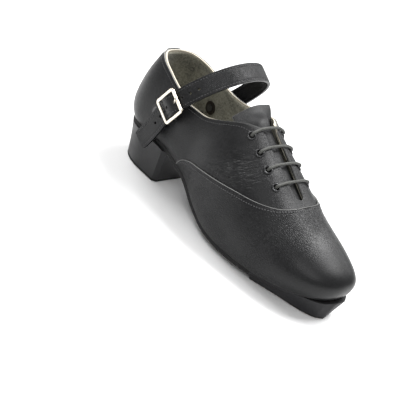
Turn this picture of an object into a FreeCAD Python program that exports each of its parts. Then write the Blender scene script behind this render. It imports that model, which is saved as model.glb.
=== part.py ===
"""A lace-up hard shoe for step dancing: a right shoe with a moulded toe tip, a stacked hollow heel,
an oxford upper with four pairs of eyelets, and a buckled ankle strap that swings on two rivets.

Millimetres. +X runs from heel to toe, +Y to the wearer's left (the inner, medial side), +Z up.
The origin is the centre of the heel's ground face."""

import FreeCAD
import Part
import math
import os

V = FreeCAD.Vector
os.makedirs("parts", exist_ok=True)

# ---------------------------------------------------------------- driving dimensions
BACK_X = -34.0  # furthest point of the upper behind the heel
TOE_X = 205.5  # furthest point of the toe
LEATHER = 1.4  # upper leather
STIFFENER = 0.9  # toe puff, heel counter and interlining
LINING = 0.8
OUTSOLE = 4.0
INSOLE = 2.0
SOCK = 1.0
RECESS = 1.5  # depth of the sole filler and the shank
SOLE_INSET = 1.8  # sole edge inside the upper's feather edge
HEEL_LIFT = 2.2  # top piece under the heel
CUT = 400.0  # size of a block that is only used to cut

# Profile tables: position along the shoe, then the size there.
FEATHER_Z = [(-34, 36), (0, 36), (25, 34.5), (45, 28.5), (70, 16.5), (95, 9.5), (120, 8), (145, 9),
             (170, 12.6), (195, 15.8), (213, 17.5)]
BULGE_Z = [(-34, 52), (0, 52), (30, 47), (60, 36), (90, 26), (120, 21), (150, 21), (180, 24), (213, 30)]
RIDGE_Z = [(-34, 104), (0, 108), (30, 114), (60, 112), (80, 101), (91, 92.5), (115, 77.5), (143, 60.5),
           (160, 53.5), (185, 48), (213, 44)]
OUTER_W = [(-34, 31), (-10, 31.5), (10, 31), (30, 30), (50, 30), (75, 35.5), (100, 40), (122, 41.5),
           (145, 40.5), (170, 38), (190, 36), (213, 35)]
INNER_W = [(-34, 31), (-10, 31), (10, 29.5), (30, 28), (50, 28), (75, 31.5), (100, 35.5), (130, 37.5),
           (150, 35), (170, 29.8), (190, 25.8), (213, 23.5)]
TUCK = [(-34, 0.86), (30, 0.88), (60, 0.86), (100, 0.93), (150, 0.93), (213, 0.90)]
AXIS_Y = [(-34, 0), (90, 0), (150, 1), (213, 2)]
TOPLINE_OUTER = [(-34, 91.5), (-20, 92.5), (-5, 89.5), (15, 83), (35, 77), (48, 77), (62, 81), (76, 87.5),
                 (84, 89.8), (89, 89.4), (94, 87.5)]
TOPLINE_INNER = [(-34, 91.5), (-20, 92.5), (-5, 89.5), (15, 84), (35, 81), (48, 82), (62, 84.5), (76, 88.5),
                 (84, 90.3), (89, 89.6), (94, 87.5)]
FACING_DROP = [(68, 0), (86, 2.0), (110, 2.6), (138, 2.4), (158, 0.9), (178, 0)]  # flat across the facings
SEAM_Z = [(38, 22), (43, 30.5), (49, 38), (57, 42), (70, 45), (90, 48.5), (110, 51.5), (125, 52.8),
          (134, 53.8), (141, 55), (150, 58.3)]
HEEL_ROUND = 29.0
TOE_ROUND = 50.0
HEEL_POWER = 2.3
TOE_POWER = 2.35


def smooth(table, x):
    """A smooth curve through a table's rows, held level past its ends."""
    if x <= table[0][0]:
        return float(table[0][1])
    if x >= table[-1][0]:
        return float(table[-1][1])
    i = max(k for k in range(len(table) - 1) if table[k][0] <= x)

    def slope(k):
        return (table[k + 1][1] - table[k][1]) / (table[k + 1][0] - table[k][0])

    def tangent(k):
        if k == 0:
            return slope(0)
        if k == len(table) - 1:
            return slope(k - 1)
        a, b = slope(k - 1), slope(k)
        return 0.0 if a * b <= 0 else (a + b) / 2

    h = table[i + 1][0] - table[i][0]
    t = (x - table[i][0]) / h
    return ((2 * t**3 - 3 * t**2 + 1) * table[i][1] + (t**3 - 2 * t**2 + t) * h * tangent(i)
            + (3 * t**2 - 2 * t**3) * table[i + 1][1] + (t**3 - t**2) * h * tangent(i + 1))


# ---------------------------------------------------------------- the foot form
def facing_drop(x, y):
    """How much the facings flatten the ridge, y from its middle."""
    return smooth(FACING_DROP, x) * math.exp(-((y / 11) ** 2))


def form_point(s, q, side, d=0.0):
    """A point on the form, d inside its outer surface. s runs 0 to 1 from back to toe, and q from -1 at
    the feather edge through 0 at the widest line to 1 at the ridge. side is -1 outer, +1 inner."""
    x = BACK_X + (TOE_X - BACK_X) * s
    back = max(0.0, min(1.0, (BACK_X + HEEL_ROUND - x) / HEEL_ROUND))
    toe = max(0.0, min(1.0, (x - TOE_X + TOE_ROUND) / TOE_ROUND))
    cap_back = (1 - back**HEEL_POWER) ** (1 / HEEL_POWER)
    cap_toe = (1 - toe**TOE_POWER) ** (1 / TOE_POWER)
    width = (smooth(OUTER_W if side < 0 else INNER_W, x) - d) * cap_back * cap_toe
    z_low = smooth(FEATHER_Z, x)
    z_mid = smooth(BULGE_Z, x)
    z_top = z_mid + (smooth(RIDGE_Z, x) - d - z_mid) * max(cap_toe, 0.06)
    tuck = math.acos(smooth(TUCK, x))
    if q < 0:
        y = width * math.cos(q * tuck)
        z = z_mid - (z_mid - z_low) * math.sin(-q * tuck) / math.sin(tuck)
    else:
        y = width * math.cos(q * math.pi / 2)
        z = z_mid + (z_top - z_mid) * math.sin(q * math.pi / 2) - facing_drop(x, y)
    low = max(0.0, min(1.0, (z_mid - z) / (z_mid - z_low)))
    high = max(0.0, min(1.5, (z - z_mid) / 40.0))
    x += 3.0 * (1 - s) ** 8 * low**2 + 8.5 * (1 - s) ** 8 * high**1.5 - 4.0 * s**12 * low**2
    return V(x + d * (1 - 2 * s), smooth(AXIS_Y, x) + side * y, z)


ALONG_FORM = [(1 - math.cos(math.pi * i / 40.0)) / 2 for i in range(41)]  # closer together at the ends
UP_FORM = [-1 + i / 5.0 for i in range(11)]


def curve_through(points):
    """A B-spline through points, evenly parametrised so that neighbouring faces share their edges."""
    c = Part.BSplineCurve()
    c.interpolate(Points=points, Parameters=[float(i) for i in range(len(points))])
    return c


def surface_through(grid):
    rows = [curve_through(row) for row in grid]
    columns = [curve_through(list(col)) for col in zip(*[r.getPoles() for r in rows])]
    surface = Part.BSplineSurface()
    surface.buildFromPolesMultsKnots([list(p) for p in zip(*[c.getPoles() for c in columns])],
                                     columns[0].getMultiplicities(), rows[0].getMultiplicities(),
                                     columns[0].getKnots(), rows[0].getKnots(), False, False, 3, 3)
    return surface.toShape()


def outline_edges(d, z, q=-1.0, inset=0.0):
    """The form's outline at the feather edge (or higher), laid flat at z: the outer half and the inner."""
    edges = []
    for side in (-1, 1):
        row = [form_point(s, q, side, d + inset) for s in ALONG_FORM]
        edges.append(curve_through([V(p.x, p.y, z) for p in row]).toShape())
    return edges


def form_solid(d):
    """The closed form d inside the upper's outer surface, with a skirt below the feather edge."""
    z = -5.0 - d
    floor = outline_edges(d, z)
    faces = []
    for side, edge in zip((-1, 1), floor):
        faces.append(surface_through([[form_point(s, q, side, d) for q in UP_FORM] for s in ALONG_FORM]))
        hem = curve_through([form_point(s, -1, side, d) for s in ALONG_FORM]).toShape()
        faces.append(Part.makeRuledSurface(edge, hem))
    faces.append(Part.Face(Part.Wire(floor)))
    skin = Part.makeCompound(faces)
    skin.sewShape(0.01)
    solid = Part.Solid(skin.Shells[0])
    if solid.Volume < 0:
        solid.reverse()
    return solid


def sole_prism(d, z0, z1):
    """A block inside the feather outline."""
    return Part.Face(Part.Wire(outline_edges(d, z0))).extrude(V(0, 0, z1 - z0))


def side_prism(points, y0=-CUT / 2, y1=CUT / 2):
    """A block whose outline is drawn in the side view, x then z, and which runs across the shoe."""
    wire = Part.makePolygon([V(x, y0, z) for x, z in points + points[:1]])
    return Part.Face(wire).extrude(V(0, y1 - y0, 0))


def curve_prism(row, closing, y0=-CUT / 2, y1=CUT / 2):
    """As side_prism, with one smooth edge through row, closed by the straight corners in closing."""
    c = Part.BSplineCurve()
    c.interpolate([V(x, y0, z) for x, z in row])
    ends = [row[-1]] + closing + [row[0]]
    lines = [Part.LineSegment(V(a[0], y0, a[1]), V(b[0], y0, b[1])).toShape() for a, b in zip(ends, ends[1:])]
    return Part.Face(Part.Wire([c.toShape()] + lines)).extrude(V(0, y1 - y0, 0))


def steps(a, b, count):
    return [a + (b - a) * i / (count - 1) for i in range(count)]


def below(table, shift=0.0):
    """Everything under a side-view curve."""
    row = [(x, smooth(table, x) + shift) for x in steps(-60, 240, 61)]
    return curve_prism(row, [(240, -60), (-60, -60)])


def above(table, shift, x0, x1, y0, y1):
    """Everything over a side-view curve, on one side of the shoe."""
    row = [(x, smooth(table, x) + shift) for x in steps(x0, x1, 41)]
    return curve_prism(row, [(x1, 200), (x0, 200)], y0, y1)


def slab(low, high):
    """The layer between two heights over the feather curve."""
    return below(FEATHER_Z, high).cut(below(FEATHER_Z, low))


def box(x0, x1, y0, y1, z0, z1):
    return Part.makeBox(x1 - x0, y1 - y0, z1 - z0, V(x0, y0, z0))


def biggest(shape):
    """The largest solid of a boolean's result."""
    return max(shape.Solids, key=lambda s: s.Volume)


def save(name, shape):
    solids = shape.Solids
    bad = [i for i, s in enumerate(solids) if not s.isValid() or s.Volume <= 0]
    print(f"{name:22s} solids {len(solids)} volume {sum(s.Volume for s in solids):9.1f} invalid {bad}")
    out = solids[0] if len(solids) == 1 else Part.makeCompound(solids)
    out.exportStep(f"parts/{name}.step")


layer_depths = [0.0, LEATHER, LEATHER + STIFFENER, LEATHER + STIFFENER + LINING]
forms = [form_solid(d) for d in layer_depths]
for f in forms:
    print("form", f.isValid(), round(f.Volume))

# ---------------------------------------------------------------- cutters for the upper
under_feather = below(FEATHER_Z)
over_outer = above(TOPLINE_OUTER, 0, -60, 94, -CUT / 2, 0)
over_inner = above(TOPLINE_INNER, 0, -60, 94, 0, CUT / 2)
GAP_TOP = 7.5  # half the lace gap at its top and at its foot
GAP_FOOT = 4.6
GAP_END_X = 139.0
gap_wire = Part.makePolygon([V(60, -GAP_TOP, 30), V(94, -GAP_TOP, 30), V(GAP_END_X, -GAP_FOOT, 30),
                             V(GAP_END_X + 1.5, 0.5, 30), V(GAP_END_X, GAP_FOOT + 1, 30), V(94, GAP_TOP, 30),
                             V(60, GAP_TOP, 30), V(60, -GAP_TOP, 30)])
lace_gap = Part.Face(gap_wire).extrude(V(0, 0, 120))
open_top = over_outer.fuse(over_inner).fuse(lace_gap)
vamp_zone = curve_prism([(x, smooth(SEAM_Z, x)) for x in steps(38, 150, 31)],
                        [(150, 150), (260, 150), (260, -30), (38, -30)])


def layer(k):
    """One layer of the upper, trimmed to the feather edge, the topline and the lace gap."""
    shell = forms[k].cut(forms[k + 1]).cut(under_feather).cut(open_top)
    return Part.makeCompound([s for s in shell.Solids if s.Volume > 50])


# ---------------------------------------------------------------- fasteners
EYELET_Y = 17.5
EYELET_X = [91.0, 103.6, 115.8, 128.0]
EYELET_BORE = 2.2
EYELET_BARREL = 2.6
EYELET_FLANGE = 3.6
EYELET_PROUD = 0.15  # the flat flange's underside over the curved leather
UPPER = layer_depths[3]


def on_form(x, side, across, d=0.0):
    """The point and outward normal of the form where it is `across` from the axis at x."""
    s = (x - BACK_X) / (TOE_X - BACK_X)

    def at(sv, q):
        return form_point(sv, q, side, d)

    lo, hi = 0.0, 1.0
    q = 0.5
    for _ in range(40):
        q = (lo + hi) / 2
        if abs(at(s, q).y - smooth(AXIS_Y, x)) > across:
            lo = q
        else:
            hi = q
    p = at(s, q)
    n = (at(s + 0.002, q) - at(s - 0.002, q)).cross(at(s, q + 0.005) - at(s, q - 0.005))
    n.normalize()
    if n.y * side < 0:
        n = n * -1
    return p, n


def eyelet(p, n):
    """A black metal eyelet: a flange outside, a barrel, and a rolled rim inside."""
    outside = Part.makeCylinder(EYELET_FLANGE, 0.42, p + n * EYELET_PROUD, n)
    outside = outside.makeFillet(0.2, [e for e in outside.Edges if e.Length > 20 and
                                        (e.CenterOfMass - p).dot(n) > 0.2])
    barrel = Part.makeCylinder(EYELET_BARREL, UPPER + 0.95, p + n * 0.3, n * -1)
    inside = Part.makeCylinder(EYELET_FLANGE - 0.5, 0.5, p - n * (UPPER + 0.15), n * -1)
    bore = Part.makeCylinder(EYELET_BORE, 12, p + n * 4, n * -1)
    return outside.fuse(barrel).fuse(inside).cut(bore).removeSplitter()


eyelet_seats = [on_form(x, side, EYELET_Y) for side in (-1, 1) for x in EYELET_X]
eyelets = [eyelet(p, n) for p, n in eyelet_seats]
eyelet_holes = Part.makeCompound([Part.makeCylinder(EYELET_BARREL + 0.02, 14, p + n * 5, n * -1)
                                  for p, n in eyelet_seats])
eyelet_pockets = Part.makeCompound([Part.makeCylinder(EYELET_FLANGE - 0.3, 4, p - n * (UPPER + 0.1), n * -1)
                                    for p, n in eyelet_seats])

# ---------------------------------------------------------------- the strap's own frame
BUCKLE = V(24, 0, 69.5)  # middle of the buckle, in the side view
ALONG = V(0.51, 0, 0.86)  # along the strap, upwards
ACROSS = V(0.86, 0, -0.51)  # across the strap, towards the toe
ALONG.normalize()
ACROSS.normalize()
PIVOT = V(10.5, 0, 57.5)  # the rivets' common axis
STRAP_WIDTH = 15.4
STRAP_THICK = 2.2


def strap_place(s, n, y):
    return BUCKLE + ALONG * s + ACROSS * n + V(0, y, 0)


# along, y, across: from the free tail past the buckle, over the instep and down to the inner rivet.
STRAP_LINE = [(-43, -35.4, 5.5), (-31, -35.6, 4.6), (-20, -35.3, 2.6), (-12, -34.7, 0.6),
              (-8.5, -34.5, 0), (-5.6, -34.9, 0), (-2.4, -36.9, 0), (1.2, -38.2, 0), (4.6, -38.0, 0),
              (7.8, -36.3, 0), (10.4, -34.7, 0), (13.5, -33.9, 0), (17, -32.6, 0),
              (24, -28.6, 0), (32, -22.8, 0), (40, -14.5, 0), (46.5, -4, 0), (49.8, 9, 0),
              (48.6, 21.5, 0), (43, 31, 0), (33, 36.2, 0), (22, 37.0, -0.3), (10, 35.8, -1.0),
              (-3, 34.0, -2.2), (-12, 32.6, -3.1), (-26, 31.8, -3.8)]


def ribbon(centres, width, thick, count=70):
    """A strap of rectangular section along a smooth line, its width kept across the strap's frame."""
    line = Part.BSplineCurve()
    line.interpolate(centres)
    first, last = line.FirstParameter, line.LastParameter
    corners = [[], [], [], []]
    for i in range(count):
        u = first + (last - first) * i / (count - 1)
        p = line.value(u)
        t = line.tangent(u)[0]
        w = ACROSS - t * ACROSS.dot(t)
        w.normalize()
        out = w.cross(t)
        out.normalize()
        for k, (a, b) in enumerate(((1, 1), (-1, 1), (-1, -1), (1, -1))):
            corners[k].append(p + w * (a * width / 2) + out * (b * thick / 2))
    edges = []
    for row in corners:
        c = Part.BSplineCurve()
        c.interpolate(row)
        edges.append(c.toShape())
    faces = [Part.makeRuledSurface(edges[k], edges[(k + 1) % 4]) for k in range(4)]
    for end in (0, -1):
        faces.append(Part.Face(Part.makePolygon([corners[k][end] for k in (0, 1, 2, 3, 0)])))
    shell = Part.Shell(faces)
    shell.sewShape()
    shell.fix(0.01, 0.01, 0.01)
    solid = Part.Solid(shell)
    if solid.Volume < 0:
        solid.reverse()
    return solid


def across_y(point, radius, y0, y1):
    """A cylinder that runs across the shoe."""
    return Part.makeCylinder(radius, y1 - y0, V(point.x, y0, point.z), V(0, 1, 0))


FRAME_LONG = 21.5  # outside, along the strap
FRAME_WIDE = 21.0
WIRE = 2.4
FRAME_Y0 = -38.5  # outer face
FRAME_Y1 = -36.7
FRAME_MID = 2.4  # the frame's middle, along the strap
BAR_Y = -34.0
BAR_R = 0.9
PRONG_W = 2.2
PRONG_T = 1.4
PRONG_RING = 2.0
PRONG_SWING = 3.0  # degrees
TO_STRAP = math.degrees(math.atan2(ALONG.x, ALONG.z))
half_long = FRAME_LONG / 2
half_wide = FRAME_WIDE / 2


def lay_on_strap(shape):
    """Turns a shape drawn with x across the strap and z along it, and moves it to the buckle."""
    shape.rotate(V(0, 0, 0), V(0, 1, 0), TO_STRAP)
    shape.translate(BUCKLE)
    return shape


def prong_stem(wide, thick, lean_more=0.0):
    """The prong's straight part, from the bar to the outside of the upper end bar."""
    root = V(0, BAR_Y, 0)
    reach = V(0, FRAME_Y0 - 1.0, FRAME_MID + half_long - 0.15) - root
    lean = math.degrees(math.atan2(-reach.y, reach.z)) + lean_more
    stem = Part.makeBox(wide, thick, reach.Length - 0.8, V(-wide / 2, -thick / 2, 0.8))
    stem.rotate(V(0, 0, 0), V(1, 0, 0), lean)
    stem.translate(root)
    return lay_on_strap(stem)


strap = ribbon([strap_place(s, n, y) for s, y, n in STRAP_LINE], STRAP_WIDTH, STRAP_THICK)
print("strap", strap.isValid(), strap.Volume)
RIVET_POST = 1.6
RIVET_HEAD = 4.2
RUNNING = 0.15
# the inner end is rounded about its rivet
past_pivot = Part.makeBox(60, 30, 60, V(-30, 20, -60))
past_pivot.rotate(V(0, 0, 0), V(0, 1, 0), math.degrees(math.atan2(ALONG.x, ALONG.z)))
past_pivot.translate(PIVOT)
rounded = past_pivot.cut(across_y(PIVOT, STRAP_WIDTH / 2, 20, 50))
strap = strap.cut(rounded).cut(across_y(PIVOT, RIVET_POST + RUNNING, 25, 45))
HOLE_PITCH = 7.2
HOLE_FIRST = -20.8
PRONG_HOLE = 4  # which of the holes the prong passes through
for k in range(8):
    s = HOLE_FIRST + HOLE_PITCH * k
    before = max((r for r in STRAP_LINE if r[0] <= s and r[1] < 0), key=lambda r: r[0])
    after = min((r for r in STRAP_LINE if r[0] > s and r[1] < 0), key=lambda r: r[0])
    f = (s - before[0]) / (after[0] - before[0])
    y = before[1] + f * (after[1] - before[1])
    n = before[2] + f * (after[2] - before[2])
    out = V(0, -1, 0) + ALONG * ((y - before[1]) / max(0.1, s - before[0]))
    out.normalize()
    if k != PRONG_HOLE:
        strap = strap.cut(Part.makeCylinder(1.3, 8, strap_place(s, n, y) - out * 4, out))
# the prong's hole is drawn into a slot that lets the prong and the frame tilt
for lean_more in (0.0, PRONG_SWING):
    strap = strap.cut(prong_stem(PRONG_W + 0.9, PRONG_T + 0.9, lean_more))
strap = biggest(strap)
save("ankle_strap", strap)

# ---------------------------------------------------------------- buckle

def strap_block(s0, s1, n0, n1, y0, y1, rounding=0.0):
    """A block square to the strap: s along it, n across it."""
    b = Part.makeBox(n1 - n0, y1 - y0, s1 - s0, V(n0, y0, s0))
    if rounding:
        b = b.makeFillet(rounding, [e for e in b.Edges if abs(e.Vertexes[0].Y - e.Vertexes[1].Y) > 0.5])
    return lay_on_strap(b)


frame = strap_block(FRAME_MID - half_long, FRAME_MID + half_long, -half_wide, half_wide, FRAME_Y0, FRAME_Y1, 2.2)
frame = frame.cut(strap_block(FRAME_MID - half_long + WIRE, FRAME_MID + half_long - WIRE, -half_wide + WIRE,
                              half_wide - WIRE, FRAME_Y0 - 1, FRAME_Y1 + 1, 0.9))
frame = frame.makeFillet(0.45, [e for e in frame.Edges if abs(e.CenterOfMass.y - FRAME_Y0) < 0.01])
frame = frame.cut(strap_block(FRAME_MID + half_long - WIRE - 0.2, FRAME_MID + half_long + 0.2,
                              -PRONG_W / 2 - 0.3,
                              PRONG_W / 2 + 0.3, FRAME_Y0 - 0.2, FRAME_Y0 + 0.95))  # the prong's rest
bar_ends = [strap_place(0, n, BAR_Y) for n in (-half_wide + 0.4, half_wide - 0.4)]
bar = Part.makeCylinder(BAR_R, (bar_ends[1] - bar_ends[0]).Length, bar_ends[0], ACROSS)
lugs = [strap_block(-1.0, 1.0, n - 0.9, n + 0.9, FRAME_Y1 - 0.4, BAR_Y + 0.9, 0) for n in
        (-half_wide + 1.2, half_wide - 1.2)]
frame = frame.fuse(bar).fuse(lugs[0]).fuse(lugs[1]).removeSplitter()
save("buckle_frame", frame)

# the prong: a ring on the bar and a straight stem that rests on the upper end bar
ring = lay_on_strap(Part.makeCylinder(PRONG_RING, PRONG_W, V(-PRONG_W / 2, BAR_Y, 0), V(1, 0, 0)))
hole = lay_on_strap(Part.makeCylinder(BAR_R + 0.08, 10, V(-5, BAR_Y, 0), V(1, 0, 0)))
stem = prong_stem(PRONG_W, PRONG_T)
stem = stem.makeFillet(0.35, [e for e in stem.Edges if e.Length > 8])
prong = stem.fuse(ring).cut(hole).removeSplitter()
save("buckle_prong", prong)

# the chape: the short strap that holds the buckle's bar
CHAPE_Y0 = -33.0
CHAPE_Y1 = -31.5
CHAPE_WIDE = 13.5
LOOP_R = BAR_R + 0.1 + 0.9
loop = Part.makeCylinder(LOOP_R, CHAPE_WIDE, strap_place(0, -CHAPE_WIDE / 2, BAR_Y), ACROSS)
edge = [strap_place(0.4, -CHAPE_WIDE / 2, CHAPE_Y0), strap_place(0.4, CHAPE_WIDE / 2, CHAPE_Y0)]
tip_s = (PIVOT - BUCKLE).dot(ALONG)
tip_n = (PIVOT - BUCKLE).dot(ACROSS)
outline = edge + [strap_place(tip_s, tip_n + 6.4, CHAPE_Y0), strap_place(tip_s, tip_n - 6.4, CHAPE_Y0)]
plate = Part.Face(Part.makePolygon(outline + outline[:1])).extrude(V(0, CHAPE_Y1 - CHAPE_Y0, 0))
plate = plate.fuse(across_y(PIVOT, 6.4, CHAPE_Y0, CHAPE_Y1))
chape = plate.fuse(loop)
chape = chape.cut(Part.makeCylinder(BAR_R + 0.1, 30, strap_place(0, -15, BAR_Y), ACROSS))
chape = chape.cut(strap_block(-3.2, 6, -PRONG_W / 2 - 0.35, PRONG_W / 2 + 0.35, -40, -28))
chape = biggest(chape.cut(across_y(PIVOT, RIVET_POST + RUNNING, -40, -25)).removeSplitter())
save("buckle_chape", chape)

# ---------------------------------------------------------------- rivets and their inside patches
PATCH_R = 5.6
PATCH_T = 0.8
patch_layer = forms[3].cut(form_solid(UPPER + PATCH_T))
rivet_holes = []
for name, side in (("outer", -1), ("inner", 1)):
    z_mid, z_top = smooth(BULGE_Z, PIVOT.x), smooth(RIDGE_Z, PIVOT.x)
    q = math.asin((PIVOT.z - z_mid) / (z_top - z_mid)) / (math.pi / 2)
    wall = form_point((PIVOT.x - BACK_X) / (TOE_X - BACK_X), q, side)
    inside_y = abs(wall.y) - UPPER - PATCH_T
    head_y = 33.0 if side < 0 else 33.7
    cap = across_y(PIVOT, RIVET_HEAD, *sorted((side * (head_y + 0.05), side * (head_y + 0.6))))
    post = across_y(PIVOT, RIVET_POST, *sorted((side * (inside_y - 0.3), side * (head_y + 0.3))))
    spread = across_y(PIVOT, 3.0, *sorted((side * (inside_y - 0.8), side * (inside_y - 0.1))))
    save(f"strap_rivet_{name}", cap.fuse(post).fuse(spread).removeSplitter())
    hole = across_y(PIVOT, RIVET_POST, *sorted((side * 20, side * 40)))
    rivet_holes.append(hole)
    disc = patch_layer.common(across_y(PIVOT, PATCH_R, *sorted((side * 18, side * 40))))
    disc = disc.cut(hole).cut(across_y(PIVOT, 3.05, *sorted((side * 10, side * (inside_y - 0.05)))))
    save(f"rivet_patch_{name}", biggest(disc))

# ---------------------------------------------------------------- the upper
outer, middle, inner = [layer(k).cut(eyelet_holes) for k in range(3)]
for hole in rivet_holes:
    outer, middle, inner = [part.cut(hole) for part in (outer, middle, inner)]
inner = inner.cut(eyelet_pockets)
BACKSTAY = 7.0  # half its width
back_strip = box(-60, 0, -BACKSTAY, BACKSTAY, 0, 120)
vamp = outer.common(vamp_zone)
rest = outer.cut(vamp_zone)
save("vamp", biggest(vamp))
save("backstay", biggest(rest.common(back_strip)))
rest = rest.cut(back_strip)
save("quarter_outer", biggest(rest.common(box(-60, 260, -60, 0, -20, 150))))
save("quarter_inner", biggest(rest.common(box(-60, 260, 0, 60, -20, 150))))
counter_zone = curve_prism([(-60, 78), (-30, 77), (0, 70), (25, 58), (42, 44), (48, 20)],
                           [(48, -20), (-60, -20)])
puff_zone = box(166, 260, -80, 80, -20, 120)
save("heel_counter", biggest(middle.common(counter_zone)))
save("toe_puff", biggest(middle.common(puff_zone)))
save("interlining", biggest(middle.cut(counter_zone).cut(puff_zone)))
LINING_SPLIT = 112.0
save("quarter_lining", biggest(inner.common(box(-60, LINING_SPLIT, -80, 80, -20, 150))))
save("vamp_lining", biggest(inner.common(box(LINING_SPLIT, 260, -80, 80, -20, 150))))
save("eyelets", Part.makeCompound(eyelets))

# ---------------------------------------------------------------- bottom of the shoe
SHANK_X = (8.0, 92.0)
FILLER_X = (98.0, 184.0)
SCREW = V(-3, 0, 0)  # the heel's screw, in plan
NAILS = [(-20, -9), (-20, 9), (12, -15), (12, 15)]
TIP_FIXINGS = [(162, -12), (162, 14), (184, 1)]
recess_slab = slab(-RECESS, 0.0)
shank_plan = box(SHANK_X[0], SHANK_X[1], -6.5, 6.5, -20, 80)
shank = recess_slab.common(shank_plan)
filler = recess_slab.common(sole_prism(14.0, -20, 80)).common(box(FILLER_X[0], FILLER_X[1], -80, 80, -20, 80))
outsole = slab(-OUTSOLE, 0.0).common(sole_prism(SOLE_INSET, -20, 80)).cut(shank).cut(filler)
insole = slab(0.0, INSOLE).common(sole_prism(UPPER + 0.1, -20, 80))
sock = slab(INSOLE, INSOLE + SOCK).common(sole_prism(UPPER + 0.3, -20, 80))
# fixings pass down through the insole and outsole
SCREW_R, NAIL_R, TIP_R = 2.2, 0.9, 1.3
heel_top_z = smooth(FEATHER_Z, 0) - OUTSOLE
insole_z = smooth(FEATHER_Z, -3) + INSOLE


def headed_pin(x, y, top, length, radius, head_r, head_t):
    """A screw or nail driven down, its head flush with top."""
    head = Part.makeCone(radius, head_r, head_t, V(x, y, top - head_t), V(0, 0, 1))
    return head.fuse(Part.makeCylinder(radius, length, V(x, y, top - length), V(0, 0, 1))).removeSplitter()


heel_screw = headed_pin(SCREW.x, SCREW.y, insole_z - 0.1, 24.0, SCREW_R, 4.4, 1.6)
nails = [headed_pin(x, y, smooth(FEATHER_Z, x) + INSOLE - 0.15, 14.0, NAIL_R, 1.9, 0.8) for x, y in NAILS]
tip_pins = [headed_pin(x, y, smooth(FEATHER_Z, x - 2) + INSOLE - 0.2, 10.0 + (x - 162) * 0.3, TIP_R, 2.6, 1.0)
            for x, y in TIP_FIXINGS]
fixings = Part.makeCompound([heel_screw] + nails + tip_pins)
wells = Part.makeCompound([Part.makeCylinder(2.6, 6, V(x, y, smooth(FEATHER_Z, x - 2) + INSOLE - 0.2))
                           for x, y in TIP_FIXINGS])
insole = insole.cut(fixings).cut(wells)
filler = filler.cut(fixings)
shank = shank.cut(fixings)
outsole = outsole.cut(fixings)
save("outsole", biggest(outsole))
save("sole_filler", biggest(filler))
save("shank", biggest(shank))
save("insole_board", biggest(insole))
save("sock_liner", biggest(sock))
save("heel_screw", heel_screw)
save("heel_nails", Part.makeCompound(nails))
save("tip_screws", Part.makeCompound(tip_pins))

# ---------------------------------------------------------------- heel
HEEL_WALL = 4.5


def heel_wire(z, centre, back_a, back_b, breast_x, inset=0.0, power=2.2, corner=3.0):
    """The heel's D outline at one height: a rounded back and a straight breast."""
    a, b = back_a - inset, back_b - inset
    arc = [math.pi / 2 + math.pi * i / 16 for i in range(17)]
    back = []
    for t in arc:
        c, s = math.cos(t), math.sin(t)
        back.append(V(centre - a * abs(c) ** (2 / power), b * math.copysign(abs(s) ** (2 / power), s), z))
    front = breast_x - inset
    curve = Part.BSplineCurve()
    curve.interpolate(back)
    rows = [back[-1], V(front - corner, -b, z), V(front, -b + corner, z), V(front, b - corner, z),
            V(front - corner, b, z), back[0]]
    lines = [Part.LineSegment(p, r).toShape() for p, r in zip(rows, rows[1:])]
    return Part.Wire([curve.toShape()] + lines)


heel_levels = [(HEEL_LIFT, 6.0, 34.5, 24.4, 24.3), (18.0, 2.5, 32.0, 26.1, 25.8),
               (40.0, -4.0, 28.0, 29.6, 29.0)]
heel = Part.makeLoft([heel_wire(*level) for level in heel_levels], True)
hollow = Part.makeLoft([heel_wire(z + (3.0 if k == 0 else 0), c, a, b, f, HEEL_WALL)
                        for k, (z, c, a, b, f) in enumerate(heel_levels)], True)
boss = Part.makeCone(7.0, 8.0, 34, V(SCREW.x, SCREW.y, HEEL_LIFT + 1), V(0, 0, 1))
nail_bosses = Part.makeCompound([Part.makeCylinder(3.4, 34, V(x, y, HEEL_LIFT + 1)) for x, y in NAILS])
under_sole = below(FEATHER_Z, -OUTSOLE)
heel = heel.cut(hollow.cut(boss).cut(nail_bosses)).common(under_sole).cut(fixings)
save("heel_block", biggest(heel))
lift = Part.Face(heel_wire(0, 6.0, 34.4, 24.3, 24.2)).extrude(V(0, 0, HEEL_LIFT))
lift = lift.makeFillet(0.5, [e for e in lift.Edges if e.CenterOfMass.z < 0.01])
save("heel_lift", lift)

# ---------------------------------------------------------------- toe tip
TIP_FOOT = [(147.5, -31.0), (169, -23.4), (184.4, -19), (192.3, -15.5), (198.5, -11.2), (201.6, -6.0),
            (199.4, 2.5), (196.0, 9.0), (190.0, 13.6), (183.0, 17.0), (168.5, 22.0), (147.5, 29.0)]
TIP_HEAD = [(147.5, -1), (171, -1), (186.8, -1), (194.8, -1), (199.8, -1), (203, -1), (203, 1), (199.6, 1),
            (193.8, 1), (185.6, 1), (170.5, 1), (147.5, 1)]
TIP_LOFT = 30.0
foot_ring, head_ring = [], []
for (bx, by), (hx, side) in zip(TIP_FOOT, TIP_HEAD):
    hs = (hx + 2.0 if hx > 150 else hx) - BACK_X
    edge = form_point(hs / (TOE_X - BACK_X),
                      -1, side, SOLE_INSET + 0.3)
    zs = smooth(FEATHER_Z, hx) - OUTSOLE
    k = TIP_LOFT / zs
    foot_ring.append(V(bx, by, 0))
    head_ring.append(V(bx + (hx - bx) * k, by + (edge.y - by) * k, TIP_LOFT))
tip = Part.makeLoft([Part.makePolygon(r + r[:1]) for r in (foot_ring, head_ring)], True, True)
print("tip loft", tip.isValid(), tip.Volume)
tip = tip.common(below(FEATHER_Z, -OUTSOLE)).cut(fixings)
save("toe_tip", biggest(tip))

# ---------------------------------------------------------------- tongue
TONGUE_X = (69.0, 143.0)
TONGUE_HALF = [(69, 17), (90, 19.5), (120, 18.5), (143, 13)]
TONGUE_DEPTH = [(69, 8.8), (90, 8.0), (130, 8.0), (138, 5.6), (143, 4.2)]
TONGUE_T = [(69, 2.6), (125, 2.4), (143, 1.6)]


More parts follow.
